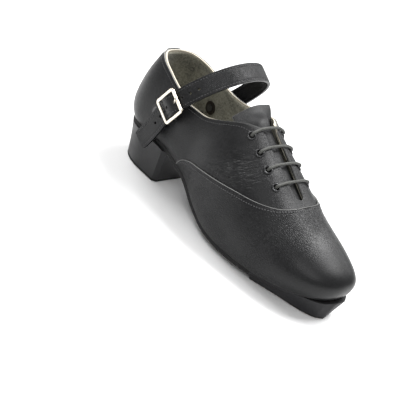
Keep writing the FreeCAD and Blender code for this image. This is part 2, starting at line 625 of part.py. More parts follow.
def tongue_point(x, y, extra):
    side = -1 if y < 0 else 1
    d = smooth(TONGUE_DEPTH, x) + extra
    width = smooth(OUTER_W if side < 0 else INNER_W, x) - d
    z_mid, z_top = smooth(BULGE_Z, x), smooth(RIDGE_Z, x) - d
    z = z_mid + (z_top - z_mid) * math.sqrt(1 - (y / width) ** 2) - facing_drop(x, y)
    return V(x, y + smooth(AXIS_Y, x), z)


TONGUE_X_ROWS = steps(TONGUE_X[0], TONGUE_X[1], 19)
TONGUE_Y_ROWS = steps(-1.0, 1.0, 11)
sheets = []
for bottom in (0, 1):
    sheets.append([[tongue_point(x, f * smooth(TONGUE_HALF, x), bottom * smooth(TONGUE_T, x))
                    for f in TONGUE_Y_ROWS] for x in TONGUE_X_ROWS])
faces = [surface_through(sheet) for sheet in sheets]
for pick in (lambda g: g[0], lambda g: g[-1], lambda g: [r[0] for r in g], lambda g: [r[-1] for r in g]):
    faces.append(Part.makeRuledSurface(curve_through(pick(sheets[0])).toShape(),
                                       curve_through(pick(sheets[1])).toShape()))
skin = Part.makeCompound(faces)
skin.sewShape(0.01)
tongue = Part.Solid(skin.Shells[0])
if tongue.Volume < 0:
    tongue.reverse()
save("tongue", tongue)

# ---------------------------------------------------------------- lace
LACE_R = 1.2
LACE_OVER = 2.4  # centre height over the quarter at an eyelet
LACE_UNDER = UPPER + 2.1  # centre depth under it
ROWS = EYELET_X


def hole_axis(row, side, height):
    p, n = on_form(ROWS[row], side, EYELET_Y)
    return p + n * height


def bar(row, start):
    """Over the facings and across the gap, from one side to the other."""
    points = []
    for side, ys in ((start, (12.5, 8.0)), (-start, (8.0, 12.5))):
        for y in ys:
            p, n = on_form(ROWS[row], side, y)
            points.append(p + n * (2.0 if y > 10 else 1.75))
    return ([hole_axis(row, start, -LACE_UNDER), hole_axis(row, start, LACE_OVER)] + points
            + [hole_axis(row, -start, LACE_OVER), hole_axis(row, -start, -LACE_UNDER)])


def passing(row, side, across):
    """A point where the lace passes under another row's eyelet."""
    return on_form(ROWS[row], side, across, LACE_UNDER)[0]


def tail_point(row, side, length):
    return on_form(ROWS[row] + length, side, EYELET_Y + 0.8, LACE_UNDER + 0.3)[0]


lace_route = [tail_point(0, -1, 8.5)] + bar(0, -1) + [passing(1, 1, 13.7)] + bar(2, 1)
lace_route += bar(3, -1) + [passing(2, 1, 21.0)] + bar(1, 1) + [tail_point(1, -1, 8.0)]


def rounded_wire(points, radius):
    """Straight runs joined by tangent arcs."""
    edges = []
    here = points[0]
    for a, b, c in zip(points, points[1:], points[2:]):
        u, w = a - b, c - b
        room = min(u.Length, w.Length) / 2.05
        u.normalize()
        w.normalize()
        half = math.acos(max(-1.0, min(1.0, u.dot(w)))) / 2
        if half > math.pi / 2 - 0.02:
            continue
        cut = min(radius / math.tan(half), room)
        r = cut * math.tan(half)
        middle = u + w
        middle.normalize()
        centre = b + middle * (r / math.sin(half))
        p0, p1 = b + u * cut, b + w * cut
        edges.append(Part.LineSegment(here, p0).toShape())
        edges.append(Part.Arc(p0, centre - middle * r, p1).toShape())
        here = p1
    edges.append(Part.LineSegment(here, points[-1]).toShape())
    return Part.Wire(edges)


route = rounded_wire(lace_route, 2.2)
start = route.Edges[0]
first = start.FirstParameter
ring = Part.Wire(Part.makeCircle(LACE_R, start.valueAt(first), start.tangentAt(first)))
lace = route.makePipeShell([ring], True, True)
print("lace length", round(route.Length, 1), lace.isValid())
save("lace", lace)
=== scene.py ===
"""A laced hard shoe for step dancing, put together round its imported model: leather upper, suede lining,
lace, buckled ankle strap, resin heel and toe tip, in a white studio. Lengths are drawn in millimetres and
turned to metres as each vertex is placed."""

import math

import bmesh
import bpy
from mathutils import Matrix, Vector


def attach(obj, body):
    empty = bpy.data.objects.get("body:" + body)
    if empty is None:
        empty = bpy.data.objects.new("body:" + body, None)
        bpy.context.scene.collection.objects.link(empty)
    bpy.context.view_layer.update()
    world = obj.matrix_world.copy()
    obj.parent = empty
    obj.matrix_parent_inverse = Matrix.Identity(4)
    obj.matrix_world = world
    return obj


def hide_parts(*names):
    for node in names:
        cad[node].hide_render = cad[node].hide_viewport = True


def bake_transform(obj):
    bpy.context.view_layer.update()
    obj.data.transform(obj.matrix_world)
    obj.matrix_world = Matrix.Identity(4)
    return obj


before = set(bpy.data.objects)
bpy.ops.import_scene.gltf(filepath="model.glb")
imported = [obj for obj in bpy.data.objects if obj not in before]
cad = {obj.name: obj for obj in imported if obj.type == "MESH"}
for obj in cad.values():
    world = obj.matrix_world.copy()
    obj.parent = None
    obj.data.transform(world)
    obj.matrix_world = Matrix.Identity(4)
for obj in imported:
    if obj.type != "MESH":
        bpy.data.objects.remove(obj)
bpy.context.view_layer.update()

# ---------------------------------------------------------------- studio
# A white sweep under large soft boxes: one nearly overhead that draws the shine along the toe, a weak one
# behind, one over the heel and one beside the camera, which stands at the outer side, ahead and above.
scene = bpy.context.scene
scene.view_settings.view_transform = "Standard"
eye = Vector((0.45031, -0.51072, 0.35278))
right = Vector((0.62574, 0.70831, 0.32672)).normalized()
up = Vector((-0.56596, 0.12403, 0.81505))
up = (up - right * up.dot(right)).normalized()
back = right.cross(up)
lens = bpy.data.cameras.new("camera")
lens.sensor_width = 36
lens.lens = 83.27
camera = bpy.data.objects.new("camera", lens)
camera.matrix_world = Matrix.Translation(eye) @ Matrix((right, up, back)).transposed().to_4x4()
scene.collection.objects.link(camera)
scene.camera = camera


def soft_box(name, place, aim, size, power):
    lamp = bpy.data.lights.new(name, "AREA")
    lamp.shape = "RECTANGLE"
    lamp.size, lamp.size_y = size
    lamp.energy = power
    holder = bpy.data.objects.new(name, lamp)
    direction = Vector(aim) - Vector(place)
    turn = direction.to_track_quat("-Z", "Y").to_matrix().to_4x4()
    holder.matrix_world = Matrix.Translation(place) @ turn
    scene.collection.objects.link(holder)


soft_box("box_above", (0.22, 0.52, 1.15), (0.15, 0, 0.05), (0.7, 0.5), 20)
soft_box("box_behind", (0.12, 1.3, 0.8), (0.12, 0, 0.05), (0.9, 0.4), 4)
soft_box("box_over_heel", (-0.7, -0.1, 1.0), (0.05, 0, 0.05), (0.7, 0.7), 9)
soft_box("box_front", (0.7, -0.9, 1.1), (0.1, 0, 0.03), (0.7, 0.7), 5)
sky = bpy.data.worlds.new("studio")
sky.use_nodes = True
sky.node_tree.nodes["Background"].inputs["Color"].default_value = (1, 1, 1, 1)
sky.node_tree.nodes["Background"].inputs["Strength"].default_value = 0.55
scene.world = sky


def surface(name, color, roughness, **sockets):
    """A material with its flat values set on the shader itself."""
    material = bpy.data.materials.new(name)
    material.use_nodes = True
    shader = material.node_tree.nodes["Principled BSDF"]
    shader.inputs["Base Color"].default_value = (*color, 1)
    shader.inputs["Roughness"].default_value = roughness
    for socket, value in sockets.items():
        shader.inputs[socket.replace("_", " ")].default_value = value
    return material, material.node_tree, shader


def add(tree, kind, settings=None, **inputs):
    """A shader node with its settings, and with each input set to a value or joined to a socket."""
    item = tree.nodes.new(kind)
    for key, value in (settings or {}).items():
        setattr(item, key, value)
    for key, value in inputs.items():
        numbered = key[0] == "i" and key[1:].isdigit()
        socket = item.inputs[int(key[1:]) if numbered else key.replace("_", " ")]
        if isinstance(value, bpy.types.NodeSocket):
            tree.links.new(value, socket)
        else:
            socket.default_value = value
    return item


def here(tree):
    """The point shaded, in the piece's own coordinates."""
    return add(tree, "ShaderNodeTexCoord").outputs["Object"]


def blend_colors(tree, factor, low, high):
    ramp = add(tree, "ShaderNodeValToRGB", Fac=factor)
    ramp.color_ramp.elements[0].color = (*low, 1)
    ramp.color_ramp.elements[1].color = (*high, 1)
    return ramp


paper, tree, shader = surface("white_sweep", (0.93, 0.93, 0.93), 0.7)
bm = bmesh.new()
bmesh.ops.create_grid(bm, x_segments=2, y_segments=2, size=6)
bmesh.ops.translate(bm, vec=(0, 0, -0.0002), verts=bm.verts)
sweep_mesh = bpy.data.meshes.new("floor")
bm.to_mesh(sweep_mesh)
bm.free()
floor = bpy.data.objects.new("floor", sweep_mesh)
floor.data.materials.append(paper)
scene.collection.objects.link(floor)

# ---------------------------------------------------------------- vamp
# One piece of pebble-grained black calf drawn over the toe of the last. Its top edge is cut raw, laps a
# millimetre over the quarters and is sewn down with one row; its lower edge goes under with the sole.
FEATHER_Z = [(-34, 36), (0, 36), (25, 34.5), (45, 28.5), (70, 16.5), (95, 9.5), (120, 8), (145, 9),
             (170, 12.6), (195, 15.8), (213, 17.5)]
BULGE_Z = [(-34, 52), (0, 52), (30, 47), (60, 36), (90, 26), (120, 21), (150, 21), (180, 24), (213, 30)]
RIDGE_Z = [(-34, 104), (0, 108), (30, 114), (60, 112), (80, 101), (91, 92.5), (115, 77.5), (143, 60.5),
           (160, 53.5), (185, 48), (213, 44)]
OUTER_W = [(-34, 31), (-10, 31.5), (10, 31), (30, 30), (50, 30), (75, 35.5), (100, 40), (122, 41.5),
           (145, 40.5), (170, 38), (190, 36), (213, 35)]
INNER_W = [(-34, 31), (-10, 31), (10, 29.5), (30, 28), (50, 28), (75, 31.5), (100, 35.5), (130, 37.5),
           (150, 35), (170, 29.8), (190, 25.8), (213, 23.5)]
TUCK = [(-34, 0.86), (30, 0.88), (60, 0.86), (100, 0.93), (150, 0.93), (213, 0.90)]
AXIS_Y = [(-34, 0), (90, 0), (150, 1), (213, 2)]
FACING_DROP = [(68, 0), (86, 2.0), (110, 2.6), (138, 2.4), (158, 0.9), (178, 0)]
SEAM_Z = [(38, 22), (43, 30.5), (49, 38), (57, 42), (70, 45), (90, 48.5), (110, 51.5), (125, 52.8),
          (134, 53.8), (141, 55), (150, 58.3)]
BACK_X, TOE_X = -34.0, 205.5
MM = 0.001


def smooth(table, x):
    """A smooth curve through a table's rows, held level past its ends."""
    if x <= table[0][0]:
        return float(table[0][1])
    if x >= table[-1][0]:
        return float(table[-1][1])
    i = max(k for k in range(len(table) - 1) if table[k][0] <= x)

    def slope(k):
        return (table[k + 1][1] - table[k][1]) / (table[k + 1][0] - table[k][0])

    def tangent(k):
        if k == 0:
            return slope(0)
        if k == len(table) - 1:
            return slope(k - 1)
        a, b = slope(k - 1), slope(k)
        return 0.0 if a * b <= 0 else (a + b) / 2

    h = table[i + 1][0] - table[i][0]
    t = (x - table[i][0]) / h
    return ((2 * t**3 - 3 * t**2 + 1) * table[i][1] + (t**3 - 2 * t**2 + t) * h * tangent(i)
            + (3 * t**2 - 2 * t**3) * table[i + 1][1] + (t**3 - t**2) * h * tangent(i + 1))


def along(x):
    return (x - BACK_X) / (TOE_X - BACK_X)


def on_last(s, q, side, d=0.0):
    """A point on the last, in millimetres, d inside the leather's outer face. s runs 0 to 1 from heel to toe,
    q from -1 at the feather edge through 0 at the widest line to 1 at the ridge; side -1 outer, +1 inner."""
    x = BACK_X + (TOE_X - BACK_X) * s
    heel = max(0.0, min(1.0, (BACK_X + 29 - x) / 29))
    toe = max(0.0, min(1.0, (x - TOE_X + 50) / 50))
    cap_heel = (1 - heel**2.3) ** (1 / 2.3)
    cap_toe = max(0.0, 1 - toe**2.35) ** (1 / 2.35)
    width = (smooth(OUTER_W if side < 0 else INNER_W, x) - d) * cap_heel * cap_toe
    z_low, z_mid = smooth(FEATHER_Z, x), smooth(BULGE_Z, x)
    z_top = z_mid + (smooth(RIDGE_Z, x) - d - z_mid) * max(cap_toe, 0.06)
    tuck = math.acos(smooth(TUCK, x))
    if q < 0:
        y = width * math.cos(q * tuck)
        z = z_mid - (z_mid - z_low) * math.sin(-q * tuck) / math.sin(tuck)
    else:
        y = width * math.cos(q * math.pi / 2)
        z = (z_mid + (z_top - z_mid) * math.sin(q * math.pi / 2)
             - smooth(FACING_DROP, x) * math.exp(-((y / 11) ** 2)))
    low = max(0.0, min(1.0, (z_mid - z) / (z_mid - z_low)))
    high = max(0.0, min(1.5, (z - z_mid) / 40))
    x += 3 * (1 - s) ** 8 * low**2 + 8.5 * (1 - s) ** 8 * high**1.5 - 4 * s**12 * low**2
    return Vector((x + d * (1 - 2 * s), smooth(AXIS_Y, x) + side * y, z))


def reach(s, side, table, shift=0.0):
    """How far up the last, as q, a line drawn in the side view comes."""
    low, high = -1.0, 1.0
    for step in range(26):
        q = (low + high) / 2
        p = on_last(s, q, side)
        if p.z > smooth(table, p.x) + shift:
            high = q
        else:
            low = q
    return q


def outward(s, q, side):
    """The last's outward direction."""
    e = 0.004
    a = on_last(min(1, s + e), q, side) - on_last(max(0, s - e), q, side)
    b = on_last(s, min(1, q + e), side) - on_last(s, max(-1, q - e), side)
    n = a.cross(b).normalized()
    points_out = n.z > 0 if q > 0 and abs(n.z) > 0.5 else n.y * side > 0
    return n if points_out else -n


def lay_sheet(bm, columns, rows, place):
    """A grid of leather whose vertices are put by place(u, v), both from 0 to 1, in millimetres."""
    made = bmesh.ops.create_grid(bm, x_segments=columns, y_segments=rows, size=0.5)["verts"]
    for v in made:
        v.co = place(v.co.x + 0.5, v.co.y + 0.5) * MM


def to_piece(name, bm, materials, body, slot, *nodes):
    """The finished piece, riding on its body and standing for its CAD nodes."""
    mesh = bpy.data.meshes.new(name)
    bm.to_mesh(mesh)
    bm.free()
    mesh.polygons.foreach_set("use_smooth", [True] * len(mesh.polygons))
    piece = bpy.data.objects.new(name, mesh)
    scene.collection.objects.link(piece)
    for m in materials:
        mesh.materials.append(m)
    if body:
        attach(piece, body)
    if nodes:
        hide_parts(*nodes)
    return piece


def face_out(bm, centre):
    """Turns an open sheet so that most of it faces away from centre."""
    score = sum((f.calc_center_median() - centre).dot(f.normal) * f.calc_area() for f in bm.faces)
    if score < 0:
        bmesh.ops.reverse_faces(bm, faces=bm.faces)


def thicken(piece, thickness, rim=0, soften=0.0, side=-1):
    """Gives a sheet its thickness inwards, a rim material and a softened edge."""
    wall = piece.modifiers.new("wall", "SOLIDIFY")
    wall.thickness = thickness * MM
    wall.offset = side
    wall.use_even_offset = True
    wall.material_offset_rim = rim
    if soften:
        edge = piece.modifiers.new("edge", "BEVEL")
        edge.width = soften * MM
        edge.segments = 2
        edge.limit_method = "ANGLE"
        edge.angle_limit = math.radians(50)


def grained(name, color, roughness, cell, depth, wave=0.35, creases=None, plain=(9.0, 10.0, 1.0)):
    """Finished calf: pebbles `cell` mm wide and `depth` mm deep, fine pores, slow undulations and a worn sheen.
    creases lists (centre, size, turn) of the places where the leather is pulled into wrinkles; plain gives
    where, along the shoe in metres, the pebbles fade and what is left of them past it."""
    material, tree, shader = surface(name, color, roughness, Specular_IOR_Level=0.27)
    place = here(tree)
    where = add(tree, "ShaderNodeSeparateXYZ", Vector=place)
    fade = add(tree, "ShaderNodeMapRange", {"interpolation_type": "SMOOTHSTEP"}, Value=where.outputs["X"],
               From_Min=plain[0], From_Max=plain[1], To_Min=1.0, To_Max=plain[2])
    drift = add(tree, "ShaderNodeTexNoise", Vector=place, Scale=300.0, Detail=2.0)
    pushed = add(tree, "ShaderNodeVectorMath", {"operation": "MULTIPLY_ADD"}, i0=drift.outputs["Color"],
                 i1=(0.0006, 0.0006, 0.0006), i2=place)
    pebble = add(tree, "ShaderNodeTexVoronoi", {"feature": "DISTANCE_TO_EDGE"}, Vector=pushed.outputs[0],
                 Scale=1000.0 / cell)
    rounded = add(tree, "ShaderNodeMapRange", {"interpolation_type": "SMOOTHSTEP"},
                  Value=pebble.outputs["Distance"], From_Min=0.0, From_Max=0.32)
    pores = add(tree, "ShaderNodeTexNoise", Vector=place, Scale=3200.0, Detail=3.0)
    slow = add(tree, "ShaderNodeTexNoise", Vector=place, Scale=28.0, Detail=2.0)
    patchy = add(tree, "ShaderNodeTexNoise", Vector=place, Scale=45.0, Detail=3.0)
    strength = add(tree, "ShaderNodeMapRange", Value=patchy.outputs["Fac"], From_Min=0.35, From_Max=0.65,
                   To_Min=0.45, To_Max=1.0)
    strength = add(tree, "ShaderNodeMath", {"operation": "MULTIPLY"}, i0=strength.outputs[0],
                   i1=fade.outputs[0])
    bumps = add(tree, "ShaderNodeBump", Strength=1.0, Distance=wave * MM, Height=slow.outputs["Fac"])
    bumps = add(tree, "ShaderNodeBump", Strength=strength.outputs[0], Distance=depth * MM,
                Height=rounded.outputs[0], Normal=bumps.outputs[0])
    bumps = add(tree, "ShaderNodeBump", Strength=0.5, Distance=0.02 * MM, Height=pores.outputs["Fac"],
                Normal=bumps.outputs[0])
    for centre, size, turn in creases or []:
        local = add(tree, "ShaderNodeMapping", {"vector_type": "TEXTURE"}, Vector=place,
                    Location=[c * MM for c in centre], Rotation=[math.radians(a) for a in turn])
        mask_place = add(tree, "ShaderNodeVectorMath", {"operation": "DIVIDE"}, i0=local.outputs[0],
                         i1=[c * MM for c in size])
        ball = add(tree, "ShaderNodeTexGradient", {"gradient_type": "SPHERICAL"},
                   Vector=mask_place.outputs[0])
        bend = add(tree, "ShaderNodeTexNoise", Vector=local.outputs[0], Scale=90.0, Detail=2.0)
        bent = add(tree, "ShaderNodeVectorMath", {"operation": "MULTIPLY_ADD"}, i0=bend.outputs["Color"],
                   i1=(0.0, 0.0, 0.005), i2=local.outputs[0])
        stretched = add(tree, "ShaderNodeVectorMath", {"operation": "MULTIPLY"}, i0=bent.outputs[0],
                        i1=(0.15, 0.5, 1.0))
        lines = add(tree, "ShaderNodeTexNoise", Vector=stretched.outputs[0], Scale=560.0, Detail=3.0,
                    Roughness=0.55)
        sharp = add(tree, "ShaderNodeMapRange", Value=lines.outputs["Fac"], From_Min=0.3, From_Max=0.7)
        tall = add(tree, "ShaderNodeMath", {"operation": "MULTIPLY"}, i0=sharp.outputs[0],
                   i1=ball.outputs["Fac"])
        bumps = add(tree, "ShaderNodeBump", Strength=0.9, Distance=1.35 * MM, Height=tall.outputs[0],
                    Normal=bumps.outputs[0])
    tree.links.new(bumps.outputs[0], shader.inputs["Normal"])
    worn = add(tree, "ShaderNodeMapRange", Value=patchy.outputs["Fac"], From_Min=0.3, From_Max=0.7,
               To_Min=roughness - 0.05, To_Max=roughness + 0.08)
    tree.links.new(worn.outputs[0], shader.inputs["Roughness"])
    tone = blend_colors(tree, rounded.outputs[0], [c * 0.6 for c in color], [c * 1.15 for c in color])
    tree.links.new(tone.outputs[0], shader.inputs["Base Color"])
    return material


grained_calf = grained("grained_calf", (0.008, 0.0082, 0.009), 0.355, 1.3, 0.21, 0.35, None,
                       (0.155, 0.192, 0.1))
# The black calf's cut edges, in grey: partly the raw edge's own colour and partly a painted highlight where
# light catches the rounded edges.
raw_edge_and_highlight, tree, shader = surface("raw_edge_and_highlight", (0.2, 0.2, 0.2), 0.6)
fibre = add(tree, "ShaderNodeTexNoise", Vector=here(tree), Scale=1500.0)
tone = blend_colors(tree, fibre.outputs["Fac"], (0.1, 0.1, 0.1), (0.28, 0.28, 0.27))
tree.links.new(tone.outputs[0], shader.inputs["Base Color"])
THROAT_X = 146.4
LAP, LAP_FADE = 1.15, 7.0


def vamp_depth(p):
    """The lap: a millimetre proud at the seam, level with the quarters lower down."""
    below = smooth(SEAM_Z, p.x) - p.z
    return -LAP * math.exp(-((max(0.0, below) / LAP_FADE) ** 2))


def vamp_point(s, q, side, extra=0.0):
    return on_last(s, q, side, vamp_depth(on_last(s, q, side)) + extra)


bm = bmesh.new()
for side in (-1, 1):
    tops = {}

    def place(u, v):
        x = TOE_X - (TOE_X - 42.3) * (1 - u) ** 1.9
        s = along(x)
        if u not in tops:
            tops[u] = reach(s, side, SEAM_Z)
        return vamp_point(s, -1 + (tops[u] + 1) * v, side)

    lay_sheet(bm, 150, 44, place)
bmesh.ops.remove_doubles(bm, verts=bm.verts, dist=0.00002)
bmesh.ops.recalc_face_normals(bm, faces=bm.faces)
face_out(bm, Vector((0.12, 0, 0.03)))
vamp = to_piece("vamp_leather", bm, [grained_calf, raw_edge_and_highlight], "shoe", "grained_leather", "vamp")
thicken(vamp, 0.95, 1, 0.22)


def stitch(bm, path, pitch, length, radius, flat=0.6):
    """Sewn stitches along a path of (point, outward) pairs in millimetres, half sunk into the leather."""
    run, next_at = 0.0, pitch / 2
    for (a, n), (b, m) in zip(path, path[1:]):
        step = (b - a).length
        while step > 0 and run + step >= next_at:
            f = (next_at - run) / step
            p, out, ahead = a.lerp(b, f), n.lerp(m, f).normalized(), (b - a).normalized()
            across = out.cross(ahead).normalized()
            turn = Matrix((ahead * length / 2, across * radius, out * radius * flat)).transposed().to_4x4()
            bmesh.ops.create_uvsphere(bm, u_segments=6, v_segments=5, radius=1,
                                      matrix=Matrix.Scale(MM, 4) @ Matrix.Translation(p) @ turn)
            next_at += pitch
        run += step


def seam_path(table, shift, side, x0, x1, count, lift, depth=None):
    path = []
    for i in range(count):
        x = x0 + (x1 - x0) * i / (count - 1)
        s = along(x)
        q = reach(s, side, table, smooth(shift, x))
        p = on_last(s, q, side)
        n = outward(s, q, side)
        path.append((on_last(s, q, side, (depth(p) if depth else 0.0)) + n * lift, n))
    return path


def edge_cord(name, path, radius, material, body):
    """A thin round edge along a path of points in millimetres."""
    line = bpy.data.curves.new(name, "CURVE")
    line.dimensions = "3D"
    line.bevel_depth = radius * MM
    line.bevel_resolution = 2
    line.use_fill_caps = True
    spline = line.splines.new("POLY")
    spline.points.add(len(path) - 1)
    for knot, p in zip(spline.points, path):
        knot.co = (*(p * MM), 1)
    line.materials.append(material)
    cord = bpy.data.objects.new(name, line)
    scene.collection.objects.link(cord)
    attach(cord, body)


# A thin grey cord along the vamp's top edge: a painted highlight where light catches the lapped edge.
halves = [seam_path(SEAM_Z, [(0, -0.12)], side, 43, THROAT_X - 0.2, 150, -0.1, vamp_depth)
          for side in (-1, 1)]
edge_cord("vamp_edge_highlight", [p for p, n in halves[0] + halves[1][::-1]], 0.21, raw_edge_and_highlight, "shoe")

thread, tree, shader = surface("waxed_thread", (0.06, 0.06, 0.062), 0.45)
ply = add(tree, "ShaderNodeTexWave", Vector=here(tree), Scale=900.0)
bump = add(tree, "ShaderNodeBump", Strength=0.6, Distance=0.00008, Height=ply.outputs["Fac"])
tree.links.new(bump.outputs[0], shader.inputs["Normal"])
bm = bmesh.new()
ROW_BELOW = [(46, -2.6), (110, -3.0), (128, -2.7), (148, -1.5)]
sides = [seam_path(SEAM_Z, ROW_BELOW, side, 46, 150.4, 150, 0.12, vamp_depth) for side in (-1, 1)]
stitch(bm, sides[0] + sides[1][::-1], 2.1, 1.5, 0.38)
to_piece("vamp_stitching", bm, [thread], "shoe", "grained_leather")

# ---------------------------------------------------------------- quarters and backstay
# The two quarters wrap the heel and carry the eyelets. They are the same calf, stiffened over the heel by a
# counter and pulled into fine wrinkles below the eyelets. A narrow strip covers their back seam.
TOPLINE = {-1: [(-34, 91.5), (-20, 92.5), (-5, 89.5), (15, 83), (35, 77), (48, 77), (62, 81), (76, 87.5),
                (84, 89.8), (89, 89.4), (94, 87.5)],
           1: [(-34, 91.5), (-20, 92.5), (-5, 89.5), (15, 84), (35, 81), (48, 82), (62, 84.5), (76, 88.5),
               (84, 90.3), (89, 89.6), (94, 87.5)]}
GAP = [(60, 7.5), (94, 7.5), (136, 4.9)]
GAP_END_X = 140.5
quarter_calf = grained("quarter_calf", (0.008, 0.0082, 0.009), 0.36, 1.1, 0.1, 0.4,
                       [((97, -33, 57), (36, 22, 22), (0, -36, 20)),
                        ((95, 31, 57), (36, 22, 22), (0, -36, -20))])
quarter_columns = []
for start, end, step in ((-34, -33, 0.05), (-33, -28, 0.35), (-28, 86, 1.6), (86, 99, 0.3), (99, 135.4, 1.4),
                         (135.4, 140.6, 0.2), (140.6, 145.6, 0.7)):
    quarter_columns += [start + (end - start) * i / round((end - start) / step) for i in
                        range(round((end - start) / step))]
quarter_columns.append(THROAT_X)


def gap_q(s, side):
    """Where the lace gap's edge runs, as q; 1 past the gap's rounded end."""
    x = BACK_X + (TOE_X - BACK_X) * s
    if x < 86 or x >= GAP_END_X:
        return 1.0
    half = smooth(GAP, x)
    if x > 136:
        half *= math.sqrt(max(0.0, 1 - ((x - 136) / (GAP_END_X - 136)) ** 2))
    low, high = 0.0, 1.0
    for step in range(26):
        q = (low + high) / 2
        if abs(on_last(s, q, side).y - smooth(AXIS_Y, x)) > half:
            low = q
        else:
            high = q
    return q


def quarter_top(s, side):
    x = BACK_X + (TOE_X - BACK_X) * s
    top = gap_q(s, side)
    if x < 97:
        top = min(top, reach(s, side, TOPLINE[side]))
    return top


EYELET_X = [91.0, 103.6, 115.8, 128.0]
EYELET_Y = 17.5


def at_across(x, side, across, d=0.0):
    """How far up the last, as s and q, the surface is `across` from its axis at x."""
    s, low, high = along(x), 0.0, 1.0
    for step in range(30):
        q = (low + high) / 2
        if abs(on_last(s, q, side, d).y - smooth(AXIS_Y, x)) > across:
            low = q
        else:
            high = q
    return s, q


def eyelet_spots(side):
    return [(*at_across(x, side, EYELET_Y), side) for x in EYELET_X]


def cut_openings(bm, spots, radius):
    """Takes away the faces within radius, in metres, of each eyelet."""
    seats = [on_last(*spot) * MM for spot in spots]
    near = [f for f in bm.faces if min((f.calc_center_median() - p).length for p in seats) < radius]
    bmesh.ops.delete(bm, geom=near, context="FACES")


for side, name in ((-1, "quarter_outer"), (1, "quarter_inner")):
    bm = bmesh.new()
    limits = {}

    def place(u, v):
        s = along(quarter_columns[round(u * (len(quarter_columns) - 1))])
        if u not in limits:
            low = reach(s, side, SEAM_Z, -4.0) if s > along(40) else -1.0
            limits[u] = (low, quarter_top(s, side))
        low, top = limits[u]
        return on_last(s, low + (top - low) * v, side)

    lay_sheet(bm, len(quarter_columns) - 1, 46, place)
    cut_openings(bm, eyelet_spots(side), 0.0028)
    bmesh.ops.recalc_face_normals(bm, faces=bm.faces)
    face_out(bm, Vector((0.05, 0, 0.05)))
    piece = to_piece(name + "_leather", bm, [quarter_calf, raw_edge_and_highlight], "shoe", "quarter_leather", name)
    thicken(piece, 1.35, 1, 0.3)


def heel_point(y, q, d):
    """A point at the back of the last, y from its middle."""
    side = -1 if y < 0 else 1
    low, high = 0.0, 0.25
    for step in range(26):
        s = (low + high) / 2
        if abs(on_last(s, q, side, d).y) < abs(y):
            low = s
        else:
            high = s
    return on_last(s, q, side, d)


bm = bmesh.new()
STRIP = 7.0


def place(u, v):
    y = (u * 2 - 1) * (STRIP - 1.5 * math.sin(v * math.pi) ** 2)
    side = -1 if y < 0 else 1
    top = reach(along(BACK_X + 0.5 + 6 * abs(u * 2 - 1) ** 2), side, TOPLINE[side])
    return heel_point(y, -1 + (top + 1) * v, -0.9)


lay_sheet(bm, 16, 40, place)
bmesh.ops.recalc_face_normals(bm, faces=bm.faces)
face_out(bm, Vector((0.0, 0, 0.05)))
strip = to_piece("backstay_strip", bm, [quarter_calf, raw_edge_and_highlight], "shoe", "quarter_leather", "backstay")
thicken(strip, 0.85, 1, 0.2)

bm = bmesh.new()
for side in (-1, 1):
    stitch(bm, seam_path(TOPLINE[side], [(0, -2.6)], side, BACK_X + 0.6, 88, 160, 0.08), 2.0, 1.45, 0.26)
    facing = []
    for i in range(80):
        s = along(90.5 + (139 - 90.5) * i / 79)
        top = gap_q(s, side)
        p = on_last(s, top, side)
        down = top
        while (on_last(s, down, side) - p).length < 2.6:
            down -= 0.003
        n = outward(s, down, side)
        facing.append((on_last(s, down, side) + n * 0.06, n))
    stitch(bm, facing, 2.0, 1.45, 0.26)
    for f in (-1, 1):
        edge_row = []
        for i in range(60):
            v = i / 59 * 0.93
            across = side * (STRIP - 1.7 - 1.5 * math.sin(v * math.pi) ** 2)
            p = heel_point(across, -1 + 1.93 * v * 0.93, -0.95)
            edge_row.append((p, Vector((-1, 0, 0))))
    stitch(bm, edge_row, 2.2, 1.5, 0.26)
to_piece("quarter_stitching", bm, [thread], "shoe", "quarter_leather")

# ---------------------------------------------------------------- lining and what lies between
# Grey-tan suede pigskin lines the quarters, with its light cut edge level with the topline. Between it and
# the leather are a cotton interlining, the heel counter and the toe puff.
suede, tree, shader = surface("lining_suede", (0.2, 0.185, 0.14), 0.95, Sheen_Weight=0.35,
                              Sheen_Roughness=0.5)
place_in = here(tree)
nap = add(tree, "ShaderNodeTexNoise", Vector=place_in, Scale=650.0, Detail=5.0, Roughness=0.8)
blotch = add(tree, "ShaderNodeTexNoise", Vector=place_in, Scale=90.0, Detail=3.0)
both = add(tree, "ShaderNodeMath", {"operation": "MULTIPLY_ADD"}, i0=nap.outputs["Fac"], i1=0.75, i2=0.0)
mixed = add(tree, "ShaderNodeMath", {"operation": "MULTIPLY_ADD"}, i0=blotch.outputs["Fac"], i1=0.3,
            i2=both.outputs[0])
tone = blend_colors(tree, mixed.outputs[0], (0.03, 0.029, 0.021), (0.4, 0.385, 0.3))
tone.color_ramp.elements[0].position, tone.color_ramp.elements[1].position = 0.35, 0.72
tree.links.new(tone.outputs[0], shader.inputs["Base Color"])
bump = add(tree, "ShaderNodeBump", Strength=0.8, Distance=0.00025, Height=nap.outputs["Fac"])
tree.links.new(bump.outputs[0], shader.inputs["Normal"])
cream, tree, shader = surface("cream_cut_edge", (0.7, 0.64, 0.53), 0.75)
fibre = add(tree, "ShaderNodeTexNoise", Vector=here(tree), Scale=1300.0)
tone = blend_colors(tree, fibre.outputs["Fac"], (0.5, 0.44, 0.34), (0.82, 0.77, 0.66))
where = add(tree, "ShaderNodeSeparateXYZ", Vector=here(tree))
outer_half = add(tree, "ShaderNodeMapRange", Value=where.outputs["Y"], From_Min=0.004, From_Max=-0.004)
past_instep = add(tree, "ShaderNodeMapRange", Value=where.outputs["X"], From_Min=0.050, From_Max=0.062)
dressed = add(tree, "ShaderNodeMath", {"operation": "MULTIPLY"}, i0=outer_half.outputs[0],
              i1=past_instep.outputs[0])
past_top = add(tree, "ShaderNodeMapRange", Value=where.outputs["X"], From_Min=0.099, From_Max=0.104)
dressed = add(tree, "ShaderNodeMath", {"operation": "MAXIMUM"}, i0=dressed.outputs[0], i1=past_top.outputs[0])
